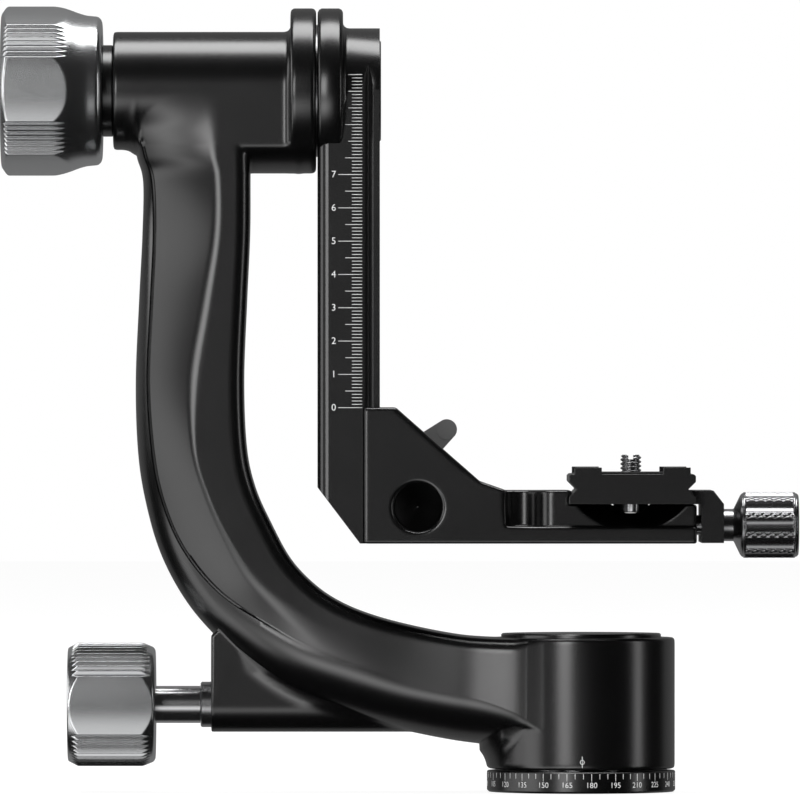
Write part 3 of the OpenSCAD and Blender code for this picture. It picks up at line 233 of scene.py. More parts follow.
g_in = group_node(skin, "NodeGroupInput")
g_out = group_node(skin, "NodeGroupOutput")
g_place = group_node(skin, "ShaderNodeTexCoord")
g_patch = group_node(skin, "ShaderNodeTexNoise")
g_patch.inputs["Scale"].default_value = 60
g_patch.inputs["Detail"].default_value = 3
g_grain = group_node(skin, "ShaderNodeTexNoise")
g_grain.inputs["Detail"].default_value = 2
wire(skin, (g_place.outputs["Object"], g_patch.inputs["Vector"]),
     (g_place.outputs["Object"], g_grain.inputs["Vector"]),
     (g_in.outputs["Grain Size"], g_grain.inputs["Scale"]))


def spread(group, noise, amount, centre):
    """centre plus (noise - 0.5) times amount."""
    shifted = group_node(group, "ShaderNodeMath", operation="SUBTRACT")
    shifted.inputs[1].default_value = 0.5
    scaled = group_node(group, "ShaderNodeMath", operation="MULTIPLY_ADD")
    wire(group, (noise, shifted.inputs[0]), (shifted.outputs[0], scaled.inputs[0]),
         (amount, scaled.inputs[1]))
    if centre is None:
        scaled.inputs[2].default_value = 1.0
    else:
        group.links.new(centre, scaled.inputs[2])
    return scaled.outputs[0]


rough = spread(skin, g_patch.outputs["Fac"], g_in.outputs["Patch Spread"], g_in.outputs["Roughness"])
tone = spread(skin, g_grain.outputs["Fac"], g_in.outputs["Tone Spread"], None)
tint = group_node(skin, "ShaderNodeVectorMath", operation="SCALE")
height = group_node(skin, "ShaderNodeMath", operation="MULTIPLY")
wire(skin, (rough, g_out.inputs["Roughness"]), (g_in.outputs["Tone"], tint.inputs[0]),
     (tone, tint.inputs["Scale"]), (tint.outputs[0], g_out.inputs["Color"]),
     (g_grain.outputs["Fac"], height.inputs[0]), (g_in.outputs["Grain Depth"], height.inputs[1]),
     (height.outputs[0], g_out.inputs["Height"]))
print("group metal_skin,", len(skin.nodes), "nodes")

# %% [markdown]
# A lathe leaves fine rings on turned steel. The rings go round the axis of the piece, so the group
# takes the distance along that axis and makes a fast wave of it, mixed with a little noise so that
# no two rings are the same.

# %% Node group: turning marks
marks = bpy.data.node_groups.new("turning_marks", "ShaderNodeTree")
add_sockets(marks, {"Direction": (1, 0, 0), "Rings per Metre": 9000.0, "Depth": 0.2},
            {"Height": 0.0})
m_in = group_node(marks, "NodeGroupInput")
m_out = group_node(marks, "NodeGroupOutput")
m_place = group_node(marks, "ShaderNodeTexCoord")
m_along = group_node(marks, "ShaderNodeVectorMath", operation="DOT_PRODUCT")
m_scaled = group_node(marks, "ShaderNodeMath", operation="MULTIPLY")
m_noise = group_node(marks, "ShaderNodeTexNoise", noise_dimensions="1D")
m_noise.inputs["Detail"].default_value = 3
m_depth = group_node(marks, "ShaderNodeMath", operation="MULTIPLY")
wire(marks, (m_place.outputs["Object"], m_along.inputs[0]),
     (m_in.outputs["Direction"], m_along.inputs[1]), (m_along.outputs["Value"], m_scaled.inputs[0]),
     (m_in.outputs["Rings per Metre"], m_scaled.inputs[1]), (m_scaled.outputs[0], m_noise.inputs["W"]),
     (m_noise.outputs["Fac"], m_depth.inputs[0]), (m_in.outputs["Depth"], m_depth.inputs[1]),
     (m_depth.outputs[0], m_out.inputs["Height"]))
print("group turning_marks,", len(marks.nodes), "nodes")

# %% [markdown]
# Each finish is one material: a Principled shader whose colour, roughness and bump come from the
# groups. Constants such as Metallic stay on the shader itself. Constants such as Metallic stay on the
# shader itself, so that they survive an export.

# %% Finishes
RELIEF, TONE_SPREAD, PATCH_SPREAD = 0.00001, 0.08, 0.04


def finish(name, color, roughness, metallic, grain=4000.0, grain_depth=0.15, rings=None,
           ring_depth=0.3, **constants):
    """A material; rings is the lathe's axis, and constants are set on the shader's own sockets."""
    material = bpy.data.materials.new(name)
    material.use_nodes = True
    t = material.node_tree
    surface = t.nodes["Principled BSDF"]
    surface.inputs["Metallic"].default_value = metallic
    for key, value in constants.items():
        surface.inputs[key.replace("_", " ")].default_value = value
    layer = t.nodes.new("ShaderNodeGroup")
    layer.node_tree = skin
    for key, value in {"Tone": (*color, 1), "Tone Spread": TONE_SPREAD, "Roughness": roughness,
                       "Patch Spread": PATCH_SPREAD, "Grain Size": grain,
                       "Grain Depth": grain_depth}.items():
        layer.inputs[key].default_value = value
    wire(t, (layer.outputs["Color"], surface.inputs["Base Color"]),
         (layer.outputs["Roughness"], surface.inputs["Roughness"]))
    total = layer.outputs["Height"]
    if rings:
        lathe = t.nodes.new("ShaderNodeGroup")
        lathe.node_tree = marks
        lathe.inputs["Direction"].default_value = rings
        lathe.inputs["Depth"].default_value = ring_depth
        both = t.nodes.new("ShaderNodeMath")
        t.links.new(total, both.inputs[0])
        t.links.new(lathe.outputs["Height"], both.inputs[1])
        total = both.outputs[0]
    relief = t.nodes.new("ShaderNodeBump")
    relief.inputs["Distance"].default_value = RELIEF
    t.links.new(total, relief.inputs["Height"])
    t.links.new(relief.outputs["Normal"], surface.inputs["Normal"])
    print("finish", name, color, "roughness", roughness)
    return material


black = finish("black_coat", (0.0015, 0.0015, 0.0016), 0.26, 0.0, grain=5000, grain_depth=0.2, IOR=2.0)
silver = finish("silver_blasted", (0.80, 0.81, 0.82), 0.25, 1.0, grain=5500, grain_depth=0.5)
chrome = finish("chrome", (0.82, 0.82, 0.83), 0.22, 1.0, rings=(1, 0, 0), ring_depth=0.05)
dark_chrome = finish("dark_chrome", (0.50, 0.50, 0.51), 0.25, 1.0, rings=(1, 0, 0), ring_depth=0.1)
steel_x = finish("steel_turned_x", (0.55, 0.55, 0.56), 0.26, 1.0, rings=(1, 0, 0))
steel_z = finish("steel_turned_z", (0.55, 0.55, 0.56), 0.26, 1.0, rings=(0, 0, 1))
brass = finish("brass_turned", (0.6, 0.43, 0.18), 0.3, 1.0, rings=(0, 0, 1))
grey = finish("grey_cast", (0.22, 0.22, 0.22), 0.38, 0.6, grain=3500, grain_depth=0.6)
plastic = finish("black_moulded", (0.008, 0.008, 0.008), 0.5, 0.0, grain=2500, grain_depth=0.8)
rubber = finish("rubber", (0.006, 0.006, 0.006), 0.75, 0.0, grain=1800, grain_depth=1.0)
enamel = finish("white_enamel", (0.78, 0.78, 0.78), 0.5, 0.0, grain=3000, grain_depth=0.1)

FINISHED = [
    (black, ["graduated_base", "main_arm", "pan_cap", "swing_arm", "axle_cap", "tilt_collar",
             "platform_bracket", "moving_jaw", "qr_plate"]),
    (silver, ["pan_lock_knob", "tilt_lock_knob"]),
    (chrome, ["pan_lock_shaft"]),
    (dark_chrome, ["clamp_knob"]),
    (steel_x, ["pan_lock_bush", "brake_push_rod", "pan_knob_screw", "tilt_axle",
               "tilt_bearing_inner_races", "tilt_bearing_outer_races", "tilt_bearing_balls",
               "tilt_spacer", "thrust_washer", "tilt_knob_insert", "rail_stop_pin", "guide_pins",
               "clamp_screw", "lever_screw", "rail_gib"]),
    (steel_z, ["base_screws", "pan_spindle", "pan_bearing_inner_races", "pan_bearing_outer_races",
               "pan_bearing_balls", "pan_nut", "pan_cap_screws", "stop_pins", "camera_screw"]),
    (brass, ["thread_bush", "pan_washer", "friction_washer", "brake_shoe"]),
    (grey, ["height_lever"]),
    (plastic, ["tilt_knob_cap"]),
    (rubber, ["plate_pads"]),
]
for material, names in FINISHED:
    for name in names:
        nodes[name].data.materials.clear()
        nodes[name].data.materials.append(material)
print("dressed", sum(len(names) for _, names in FINISHED), "of", len(nodes), "nodes")

# %% [markdown]
# Most CAD nodes have the right shape but razor-sharp edges. On a real machined part every edge is
# broken by a tiny bevel, and that bevel catches a thin line of light. Modifiers add it without
# touching the CAD mesh: a weld joins its vertices, a planar dissolve gives clean faces, and a
# bevel with hardened normals rounds the edges.

# %% Small bevels on the CAD nodes
BEVELS_MM = {"swing_arm": 0.4, "qr_plate": 0.35, "moving_jaw": 0.45, "height_lever": 0.5,
             "plate_pads": 0.15, "stop_pins": 0.2, "lever_screw": 0.15}


def soften(node, width):
    """Joins a CAD mesh's vertices, clears its flat faces and rounds its edges, by modifiers."""
    weld = node.modifiers.new("weld", "WELD")
    weld.merge_threshold = 0.000002
    planar = node.modifiers.new("planar", "DECIMATE")
    planar.decimate_type = "DISSOLVE"
    planar.angle_limit = math.radians(0.3)
    bevel = node.modifiers.new("bevel", "BEVEL")
    bevel.width = width * MM
    bevel.segments = 3
    bevel.limit_method = "ANGLE"
    bevel.angle_limit = math.radians(38)
    bevel.harden_normals = True
    bevel.use_clamp_overlap = True


for name, width in BEVELS_MM.items():
    soften(nodes[name], width)
print("softened", len(BEVELS_MM), "nodes")

# %% [markdown]
# New pieces are built from rows of points. This helper turns arrays of points in millimetres into
# a smooth-shaded mesh, lets it ride on its CAD body, gives it its material and hides the nodes
# it replaces.

# %% Helper: make a piece
def make_piece(name, points, faces, body, material, replaced=(), normals=None):
    """A smooth piece from points in millimetres; normals, if given, are one for each corner."""
    mesh = bpy.data.meshes.new(name)
    mesh.from_pydata((np.asarray(points, float) * MM).tolist(), [], faces)
    if normals is None:
        cleaner = bmesh.new()
        cleaner.from_mesh(mesh)
        bmesh.ops.remove_doubles(cleaner, verts=cleaner.verts, dist=1e-6)
        bmesh.ops.recalc_face_normals(cleaner, faces=cleaner.faces)
        cleaner.to_mesh(mesh)
        cleaner.free()
    mesh.polygons.foreach_set("use_smooth", [True] * len(mesh.polygons))
    if normals is not None:
        mesh.normals_split_custom_set(normals)
    mesh.materials.append(material)
    mesh.update()
    piece = bpy.data.objects.new(name, mesh)
    bpy.context.scene.collection.objects.link(piece)
    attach(piece, body)
    if replaced:
        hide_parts(*replaced)
    print("piece", name, len(mesh.vertices), "vertices")
    return piece


def grid_faces(rows, columns):
    """Quads between the rows of a grid whose columns close on themselves."""
    i = np.arange(rows - 1)[:, None]
    j = np.arange(columns)[None, :]
    k, down = (j + 1) % columns, i + 1
    quads = np.stack([i * columns + j, i * columns + k, down * columns + k, down * columns + j], -1)
    return quads.reshape(-1, 4).tolist()


def soft_min(a, b, softness):
    """The smaller of two values, with a rounded change from one to the other."""
    share = np.clip(0.5 + 0.5 * (b - a) / softness, 0, 1)
    return b * (1 - share) + a * share - softness * share * (1 - share)


# %% [markdown]
# The big shape is the arm. The real one is a single casting: a J-shaped arm, the tilt tube with
# its disc, the lock boss and the panning housing, all flowing into each other with fillets. Such
# flowing joins are hard to model by hand but easy with distance fields. Each form is a field that
# tells how far every point of a fine grid is from its surface, and a smooth minimum of two fields
# melts them together. OpenVDB, which comes with Blender, turns the final field into a mesh.
#
# First the J itself: sections along a curve, each with its flat, its ridge, the slope that falls
# back from it, a fine crease and a rounded lip.

# %% The arm's sections
WEB_X, ARM_FOOT_Z, ARM_W, ARM_HALF, SLOPE = -99.8, 46.2, 32.5, 17.8, 9.4
INNER_ROUND, SHARP_ROUND, HOUSING_JOIN = 4.0, 0.7, 10.6
CREASE_W, CREASE_D, RIDGE_ZONE, LIP_FLAT, LIP_TURN = 1.15, 1.3, 1.5, 2.0, 40.0
# reach, rise, turn, extra width, ridge share, crease share, half thickness, slope, softness, crease
STATIONS = np.array([
    (1.000, 1.150, 0.0, 3.0, 0.31, 0.90, ARM_HALF, 0.00, 0.01, 0.0),
    (1.000, 1.000, 0.0, 3.0, 0.31, 0.92, ARM_HALF, 0.00, 0.01, 0.0),
    (1.000, 0.930, 0.0, 3.0, 0.31, 0.915, ARM_HALF, 0.35, 0.2, 0.2),
    (1.000, 0.880, 0.0, 1.8, 0.31, 0.90, ARM_HALF, 0.62, 0.3, 0.6),
    (1.000, 0.835, 0.0, -0.2, 0.30, 0.885, ARM_HALF, 0.86, 0.5, 0.9),
    (1.001, 0.738, 0.0, -0.1, 0.31, 0.865, ARM_HALF, 1.02, 0.8, 1.0),
    (1.010, 0.617, 0.0, 0.0, 0.37, 0.86, ARM_HALF, 0.81, 0.8, 1.0),
    (1.019, 0.472, 0.0, 0.1, 0.46, 0.86, ARM_HALF, 0.65, 0.8, 1.0),
    (1.011, 0.350, 1.0, 0.3, 0.48, 0.84, ARM_HALF, 0.70, 0.5, 1.0),
    (0.985, 0.276, 9.9, 0.7, 0.44, 0.82, ARM_HALF, 0.81, 0.5, 0.9),
    (0.937, 0.210, 18.3, 1.8, 0.41, 0.77, ARM_HALF + 0.1, 0.78, 0.6, 0.6),
    (0.877, 0.144, 24.7, 1.1, 0.39, 0.68, ARM_HALF + 0.2, 0.60, 0.9, 0.3),
    (0.802, 0.096, 38.7, -0.5, 0.36, 0.55, ARM_HALF + 0.4, 0.28, 1.0, 0.1),
    (0.721, 0.064, 55.0, -1.0, 0.35, 0.50, ARM_HALF + 0.7, 0.10, 0.6, 0.0),
    (0.621, 0.040, 67.2, -1.6, 0.35, 0.49, ARM_HALF + 1.1, 0.03, 0.2, 0.0),
    (0.501, 0.021, 78.9, -1.3, 0.35, 0.52, ARM_HALF + 1.6, 0.01, 0.05, 0.0),
    (0.381, 0.007, 86.4, -0.8, 0.36, 0.53, ARM_HALF + 2.5, 0.00, 0.01, 0.0),
    (0.300, 0.002, 88.0, -0.4, 0.36, 0.55, ARM_HALF + 3.3, 0.00, 0.01, 0.0),
    (0.200, 0.000, 89.0, 0.4, 0.38, 0.64, ARM_HALF + 5.2, 0.00, 0.01, 0.0),
    (0.106, 0.000, 90.0, 1.0, 0.40, 0.80, ARM_HALF + 8.3, 0.00, 0.01, 0.0),
    (0.030, 0.000, 90.0, 1.0, 0.40, 0.84, ARM_HALF + 9.4, 0.00, 0.01, 0.0),
])


def smooth_rows(rows, steps):
    """A Catmull-Rom curve through the rows, with steps pieces between each two."""
    made = []
    for i in range(len(rows) - 1):
        a, b = rows[max(i - 1, 0)], rows[i]
        c, d = rows[i + 1], rows[min(i + 2, len(rows) - 1)]
        for t in np.arange(steps) / steps:
            made.append(0.5 * (2 * b + (c - a) * t + (2 * a - 5 * b + 4 * c - d) * t * t
                               + (3 * (b - c) + d - a) * t ** 3))
    return np.array(made + [rows[-1]])


def half_section(station):
    """Half of a section, as distance across the arm and half thickness, in millimetres."""
    width, half = ARM_W + station[3], station[6]
    ridge, crease, fall = station[4] * width, station[5] * width, station[7] * SLOPE
    turn = np.radians(np.linspace(0, 90, 9))
    edge = SHARP_ROUND + 0.33 * (station[0] * -WEB_X - HOUSING_JOIN)
    edge = min(INNER_ROUND, max(SHARP_ROUND, edge))
    inner = np.stack([edge * (1 - np.cos(turn)), half - edge * (1 - np.sin(turn))], 1)
    before, after = ridge - RIDGE_ZONE, ridge + RIDGE_ZONE
    across = np.concatenate([np.linspace(edge, before, 12)[1:], np.linspace(before, after, 14)[1:],
                             np.linspace(after, crease, 26)[1:]])
    t = (across - ridge) / (crease - ridge)
    slope = half - fall * (0.84 * t + 0.16 * t * np.abs(t))
    body = np.stack([across, soft_min(np.full_like(slope, half), slope, station[8])], 1)
    low, depth = body[-1, 1], station[9]
    groove = np.array([(0.25, -CREASE_D), (0.6, -CREASE_D), (0.9, 0.0)]) * (CREASE_W / 0.9, depth)
    groove += (crease, low)
    first = LIP_FLAT + LIP_TURN * depth
    a0, a = math.radians(first), np.radians(np.linspace(first, 90, 16))[1:]
    start, top = groove[-1]
    lip = np.stack([start + (width - start) * (np.sin(a) - math.sin(a0)) / (1 - math.sin(a0)),
                    top * np.cos(a) / math.cos(a0)], 1)
    return np.concatenate([[(0, 0)], inner, body, groove, lip])


def arm_rings():
    """One closed ring of points for each of the sections between the stations."""
    rings = []
    for station in smooth_rows(STATIONS, 14):
        half = half_section(station)
        turn = math.radians(station[2])
        x = station[0] * WEB_X - half[:, 0] * math.cos(turn)
        z = ARM_FOOT_Z + station[1] * (TILT_Z - ARM_FOOT_Z) - half[:, 0] * math.sin(turn)
        front = np.stack([x, -half[:, 1], z], 1)
        back = np.stack([x, half[:, 1], z], 1)[-2:0:-1]
        rings.append(np.concatenate([front, back]))
    return np.array(rings)


rings = arm_rings()
print("arm sections", rings.shape)

# %% [markdown]
# Now the fields. A round bar with rounded edges is one formula, and so are the boss and the web
# under the tube. The J's field comes from OpenVDB, which measures the distance to its mesh.

# %% The arm's distance fields
VOXEL = 0.6
GRID_LOW = np.array([-146.0, -32.0, 2.0])
GRID_SIZE = np.ceil((np.array([32.0, 32.0, 240.0]) - GRID_LOW) / VOXEL).astype(int)
gx, gy, gz = (GRID_LOW[k] + VOXEL * np.arange(GRID_SIZE[k], dtype=np.float32) for k in range(3))
gx, gy, gz = gx[:, None, None], gy[None, :, None], gz[None, None, :]


def bar(along, radius_at, start, end, radius, edge):
    """A round bar from start to end, with rounded edges."""
    out_a = np.abs(along - (start + end) / 2) - ((end - start) / 2 - edge)
    out_r = radius_at - (radius - edge)
    outside = np.sqrt(np.maximum(out_a, 0) ** 2 + np.maximum(out_r, 0) ** 2)
    return (outside + np.minimum(np.maximum(out_a, out_r), 0) - edge).astype(np.float32)


def whole(values):
    """The values at every point of the arm's grid."""
    shape = tuple(int(n) for n in GRID_SIZE)
    return np.ascontiguousarray(np.broadcast_to(values, shape), dtype=np.float32)


def mesh_field(points, triangles, quads, low, size, step, reach):
    """The signed distance to a closed mesh, at every point of a grid."""
    local = ((points - low) / step).astype(np.float32)
    grid = openvdb.FloatGrid.createLevelSetFromPolygons(
        local, triangles=np.asarray(triangles, np.uint32).reshape(-1, 3),
        quads=np.asarray(quads, np.uint32).reshape(-1, 4), halfWidth=reach / step)
    field = np.empty(tuple(int(n) for n in size), np.float32)
    grid.copyToArray(field)
    return field * step


def fillet(a, b, radius):
    """The union of two fields with a plain round fillet."""
    h = np.maximum(radius - np.abs(a - b), 0) / radius
    return np.minimum(a, b) - h * h * radius * 0.25


def melt(a, b, radius):
    """The union of two fields with a fillet, which fades where both surfaces face the same way."""
    share = np.zeros_like(a)
    radius = whole(radius)
    near = (np.abs(a - b) < radius) & (np.maximum(np.abs(a), np.abs(b)) < radius)
    ga, gb = np.gradient(a, VOXEL), np.gradient(b, VOXEL)
    agree = sum(p[near] * q[near] for p, q in zip(ga, gb))
    fade = radius[near] * np.clip((1 - agree) / 0.7, 0, 1)
    fade = np.maximum(fade, 0.01)
    h = np.maximum(fade - np.abs(a[near] - b[near]), 0) / fade
    share[near] = h * h * fade * 0.25
    return np.minimum(a, b) - share


def loft_field(rings):
    """The field of the rings' skin, closed by a fan of triangles at each end."""
    count, around = rings.shape[:2]
    quads = np.array(grid_faces(count, around), dtype=np.uint32)
    points = np.concatenate([rings.reshape(-1, 3), [rings[0].mean(0), rings[-1].mean(0)]])
    base = count * around
    j = np.arange(around)
    k = (j + 1) % around
    caps = np.concatenate([np.stack([np.full(around, base), k, j], 1),
                           np.stack([np.full(around, base + 1), j + (count - 1) * around,
                                     k + (count - 1) * around], 1)]).astype(np.uint32)
    return mesh_field(points, caps, quads, GRID_LOW, GRID_SIZE, VOXEL, 16.0)


arm_field = loft_field(rings)
print("loft field", arm_field.shape, "from", arm_field.min(), "to", arm_field.max(), "mm")

# %% [markdown]
# Here the forms join. The housing gets a wide fillet under the arm, and the tube and the boss get
# small ones. Planes give the boss its flat back and its slanted top. Last, the bores for the
# bearings, the lid and the lock's rod are cut, so the piece is as hollow as the casting.

# %% Join the forms and cut the bores
TUBE_X, DISC_LEFT, DISC_X = -141.0, -87.6, -79.9
LOCK_X, BOSS_R, DISC_R = -111.5, 8.26, 24.9
UNDER = 1.6
round_tilt = np.sqrt(gy ** 2 + (gz - TILT_Z) ** 2)
round_pan = np.sqrt(gx ** 2 + gy ** 2)
round_lock = np.sqrt(gy ** 2 + (gz - LOCK_Z) ** 2)
tube = bar(gx, round_tilt, TUBE_X, DISC_X - 2, ARM_HALF, 0.8)
disc = bar(gx, round_tilt, DISC_LEFT, DISC_X, DISC_R, 1.3)
flanks = np.sqrt(gy ** 2 + np.maximum(gz - TILT_Z, 0) ** 2) - ARM_HALF
web = -soft_min(-bar(gx, round_tilt, WEB_X - 7, DISC_LEFT + 2, DISC_R, 0.5), -flanks, 0.9)
arm_field = np.where(gz > 150, np.maximum(arm_field, flanks), arm_field)
ceiling = HOUSING_TOP + 0.45 * np.maximum(-36.0 - gx, 0)
boss = np.sqrt(gy ** 2 + np.maximum(LOCK_Z - gz, 0) ** 2) - BOSS_R
for start_x, start_z, side_x, side_z in ((LOCK_X, 0, -1, 0), (LOCK_X, 47, -8.5, 10),
                                         (0, 50, 0, 1), (-45.5, LOCK_Z, 23.3, 14.0)):
    steep = math.hypot(side_x, side_z)
    boss = np.maximum(boss, ((gx - start_x) * side_x + (gz - start_z) * side_z) / steep)

wall = round_pan - HOUSING_R
field = melt(arm_field, whole(boss), 5.0 * np.clip((44 - gz) / 8, 0.1, 1))
under_arm = np.clip((30 - gz) / 14, 0, 1) * np.clip((-17 - gx) / 7, 0, 1)
field = fillet(field, wall, 0.01 + 9.0 * under_arm)
slab = np.maximum(gz - ceiling, HOUSING_Z - gz)
field = np.where(gx > -60, -soft_min(-field, -slab, 1.2), field)
top = melt(np.minimum(whole(tube), whole(web)), whole(disc), 2.2)
below_tube = 0.01 + 4.0 * np.clip((TILT_Z - gz) / 10, 0, 1)
field = np.where(gx < -118, melt(field, top, below_tube), np.minimum(field, top))
other = np.minimum(np.minimum(boss, top), np.where(gz < 60, wall, 50.0))
sunk = UNDER * (np.clip((196 - gz) / 10, 0, 1) * np.clip((-16 - gx) / 6, 0, 1)
                * np.clip((other - arm_field) / 3 - 0.1, 0, 1))

for along, ring_r, start, end, radius in (
        (gx, round_tilt, TUBE_X - 1, DISC_X + 1, 10.2), (gx, round_tilt, TUBE_X - 1, -134.1, 12.0),
        (gx, round_tilt, TUBE_X - 1, -139.2, 13.05), (gx, round_tilt, -86.2, DISC_X + 1, 12.0),
        (gx, round_lock, LOCK_X - 1, 0, 4.0), (gx, round_lock, LOCK_X - 1, LOCK_X + 14, 6.01),
        (gx, round_lock, -34.5, 0, 5.0), (gz, round_pan, HOUSING_Z - 1, 16.0, 16.0),
        (gz, round_pan, HOUSING_Z, HOUSING_TOP, 13.6), (gz, round_pan, 34.5, HOUSING_TOP + 1, 16.0),
        (gz, round_pan, 45.5, HOUSING_TOP + 1, 24.11)):
    field = np.maximum(field, -bar(along, ring_r, start, end, radius, 0.0))
print("inside the casting", int((field < 0).sum()), "of", field.size, "grid points")

# %% [markdown]
# OpenVDB turns the field into quads. Each vertex is then moved onto the exact surface along the
# field's gradient. The gradient close to each corner of a triangle also becomes the shading normal
# there, so the glossy coat reflects as smoothly as on a machined and painted casting.

# %% The arm's mesh
STEP_MAX, INWARD, ARM_FACES = 0.3, 0.12, 196000


def sample(values, places):
    """Values of a grid at places given in grid steps, mixed between the eight nearest points."""
    cell = np.clip(np.floor(places).astype(int), 0, np.array(values.shape) - 2)
    part = places - cell
    result = 0
    for corner in np.ndindex(2, 2, 2):
        weight = np.prod(np.where(np.array(corner), part, 1 - part), axis=1)
        at = cell + np.array(corner)
        result = result + weight * values[at[:, 0], at[:, 1], at[:, 2]]
    return result


def field_normals(slopes, places):
    """Unit vectors along the field's gradient."""
    direction = np.stack([sample(slope, places) for slope in slopes], 1)
    return direction / np.maximum(np.linalg.norm(direction, axis=1), 1e-6)[:, None]


def thinned(points, faces, share):
    """The same surface with fewer triangles, taken first where it is flattest."""
    mesh = bpy.data.meshes.new("thinning")
    mesh.from_pydata(points.tolist(), [], faces)
    holder = bpy.data.objects.new("thinning", mesh)
    bpy.context.scene.collection.objects.link(holder)
    holder.modifiers.new("triangles", "TRIANGULATE")
    holder.modifiers.new("thin", "DECIMATE").ratio = share
    done = bpy.data.meshes.new_from_object(holder.evaluated_get(
        bpy.context.evaluated_depsgraph_get()))
    out = np.array([v.co for v in done.vertices])
    tris = [tuple(f.vertices) for f in done.polygons]
    bpy.data.objects.remove(holder)
    return out, tris


def field_surface(shape, slopes, low, step, budget):
    """Points, triangles and corner normals of a field's surface, thinned to a budget of faces."""
    level = openvdb.FloatGrid(background=3.0)
    level.copyFromArray(shape / step, tolerance=0.0)
    places, triangles, quads = level.convertToPolygons(isovalue=0.0, adaptivity=0.0)
    faces = quads.tolist() + triangles.tolist()
    points, faces = thinned(places.astype(float), faces, min(1.0, 0.5 * budget / len(faces)))
    for _ in range(3):
        direction = field_normals(slopes, points)
        points -= direction * np.clip(sample(shape, points), -STEP_MAX, STEP_MAX)[:, None] / step
    corners = points[np.array(faces)]
    inward = corners + INWARD * (corners.mean(1, keepdims=True) - corners)
    normals = field_normals(slopes, inward.reshape(-1, 3))
    a, b, c = corners[:, 0], corners[:, 1], corners[:, 2]
    if (np.cross(b - a, c - a) * normals[::3]).sum() < 0:
        faces = [f[::-1] for f in faces]
        normals = normals.reshape(-1, 3, 3)[:, ::-1].reshape(-1, 3)
    return points * step + low, faces, normals


shape = np.ascontiguousarray(field + sunk, dtype=np.float32)
points, faces, normals = field_surface(shape, np.gradient(field, VOXEL), GRID_LOW, VOXEL, ARM_FACES)
make_piece("cast_arm", points, faces, "arm", black, ("main_arm",), normals)
print("arm mesh", len(faces), "faces")

# %% [markdown]
# A grid is too coarse for the fine crease, so the long part of the J is laid over it as its own
# clean mesh of sections. Both ends sink a little into the casting, where the joins take over.

# %% The J's own surface
J_TOP_Z, J_END_X, SINK = 196, -11, 0.014
middle = rings.mean(1, keepdims=True)
sink = np.maximum(np.clip((middle[..., 2:] - J_TOP_Z + 10) / 10, 0, 1),
                  np.clip((middle[..., :1] - J_END_X + 6) / 5, 0, 1))
kept = (middle[:, 0, 2] < J_TOP_Z) & (middle[:, 0, 0] < J_END_X)
long_part = (middle + (rings - middle) * (1 - SINK * sink))[kept]
around = long_part.shape[1]
last = len(long_part) * around
j_faces = grid_faces(len(long_part), around)
j_faces += [list(range(around)), list(range(last - around, last))]
j_piece = make_piece("arm_surface", long_part.reshape(-1, 3), j_faces, "arm",
                     black, ("main_arm",))
j_piece.data.set_sharp_from_angle(angle=math.radians(32))

# %% [markdown]
# The bracket gets the same treatment. Its CAD mesh becomes a field, a light blur rounds every edge
# a little, and extra cuts add what the photo shows: the step in front of the clamp, the round
# pocket, the bowls for the fingers and the deep hole. The gib's pocket gets a hair more room, so
# that nothing touches when the lever lets the gib go.

# %% The bracket with soft edges
SOFT_STEP, SOFT_BLURS, BRACKET_FACES = 0.35, 2, 110000
GIB_ROOM, GIB_REACH = 0.32, 0.9
BRACKET_TOP, DECK_TOP, DECK_X, PLATE_Z, SIDE, STEP_IN = 115.8, 90.8, -22.8, 80.1, 23.5, 1.3
CORNER_R, CORE_HALF, BOWL_R, BOWL_Z = 4.8, 17.5, 21.2, 100.3
HUB_X, HUB_Z, HUB_R = -56.1, 95.9, 9.0
HOLE_X, HOLE_Z, HOLE_R, HOLE_DEEP, HOLE_CONE = -49.3, 85.8, 7.27, 15.0, 0.6


def places_of(node):
    """The node's vertices in millimetres."""
    matrix = np.array(nodes[node].matrix_world)
    points = np.array([v.co for v in nodes[node].data.vertices])
    return (points @ matrix[:3, :3].T + matrix[:3, 3]) / MM


def blurred(field, times):
    """The field mixed with its neighbours along each axis."""
    for _ in range(times):
        for axis in range(3):
            ahead, behind = np.roll(field, 1, axis), np.roll(field, -1, axis)
            field = 0.5 * field + 0.25 * (ahead + behind)
    return field


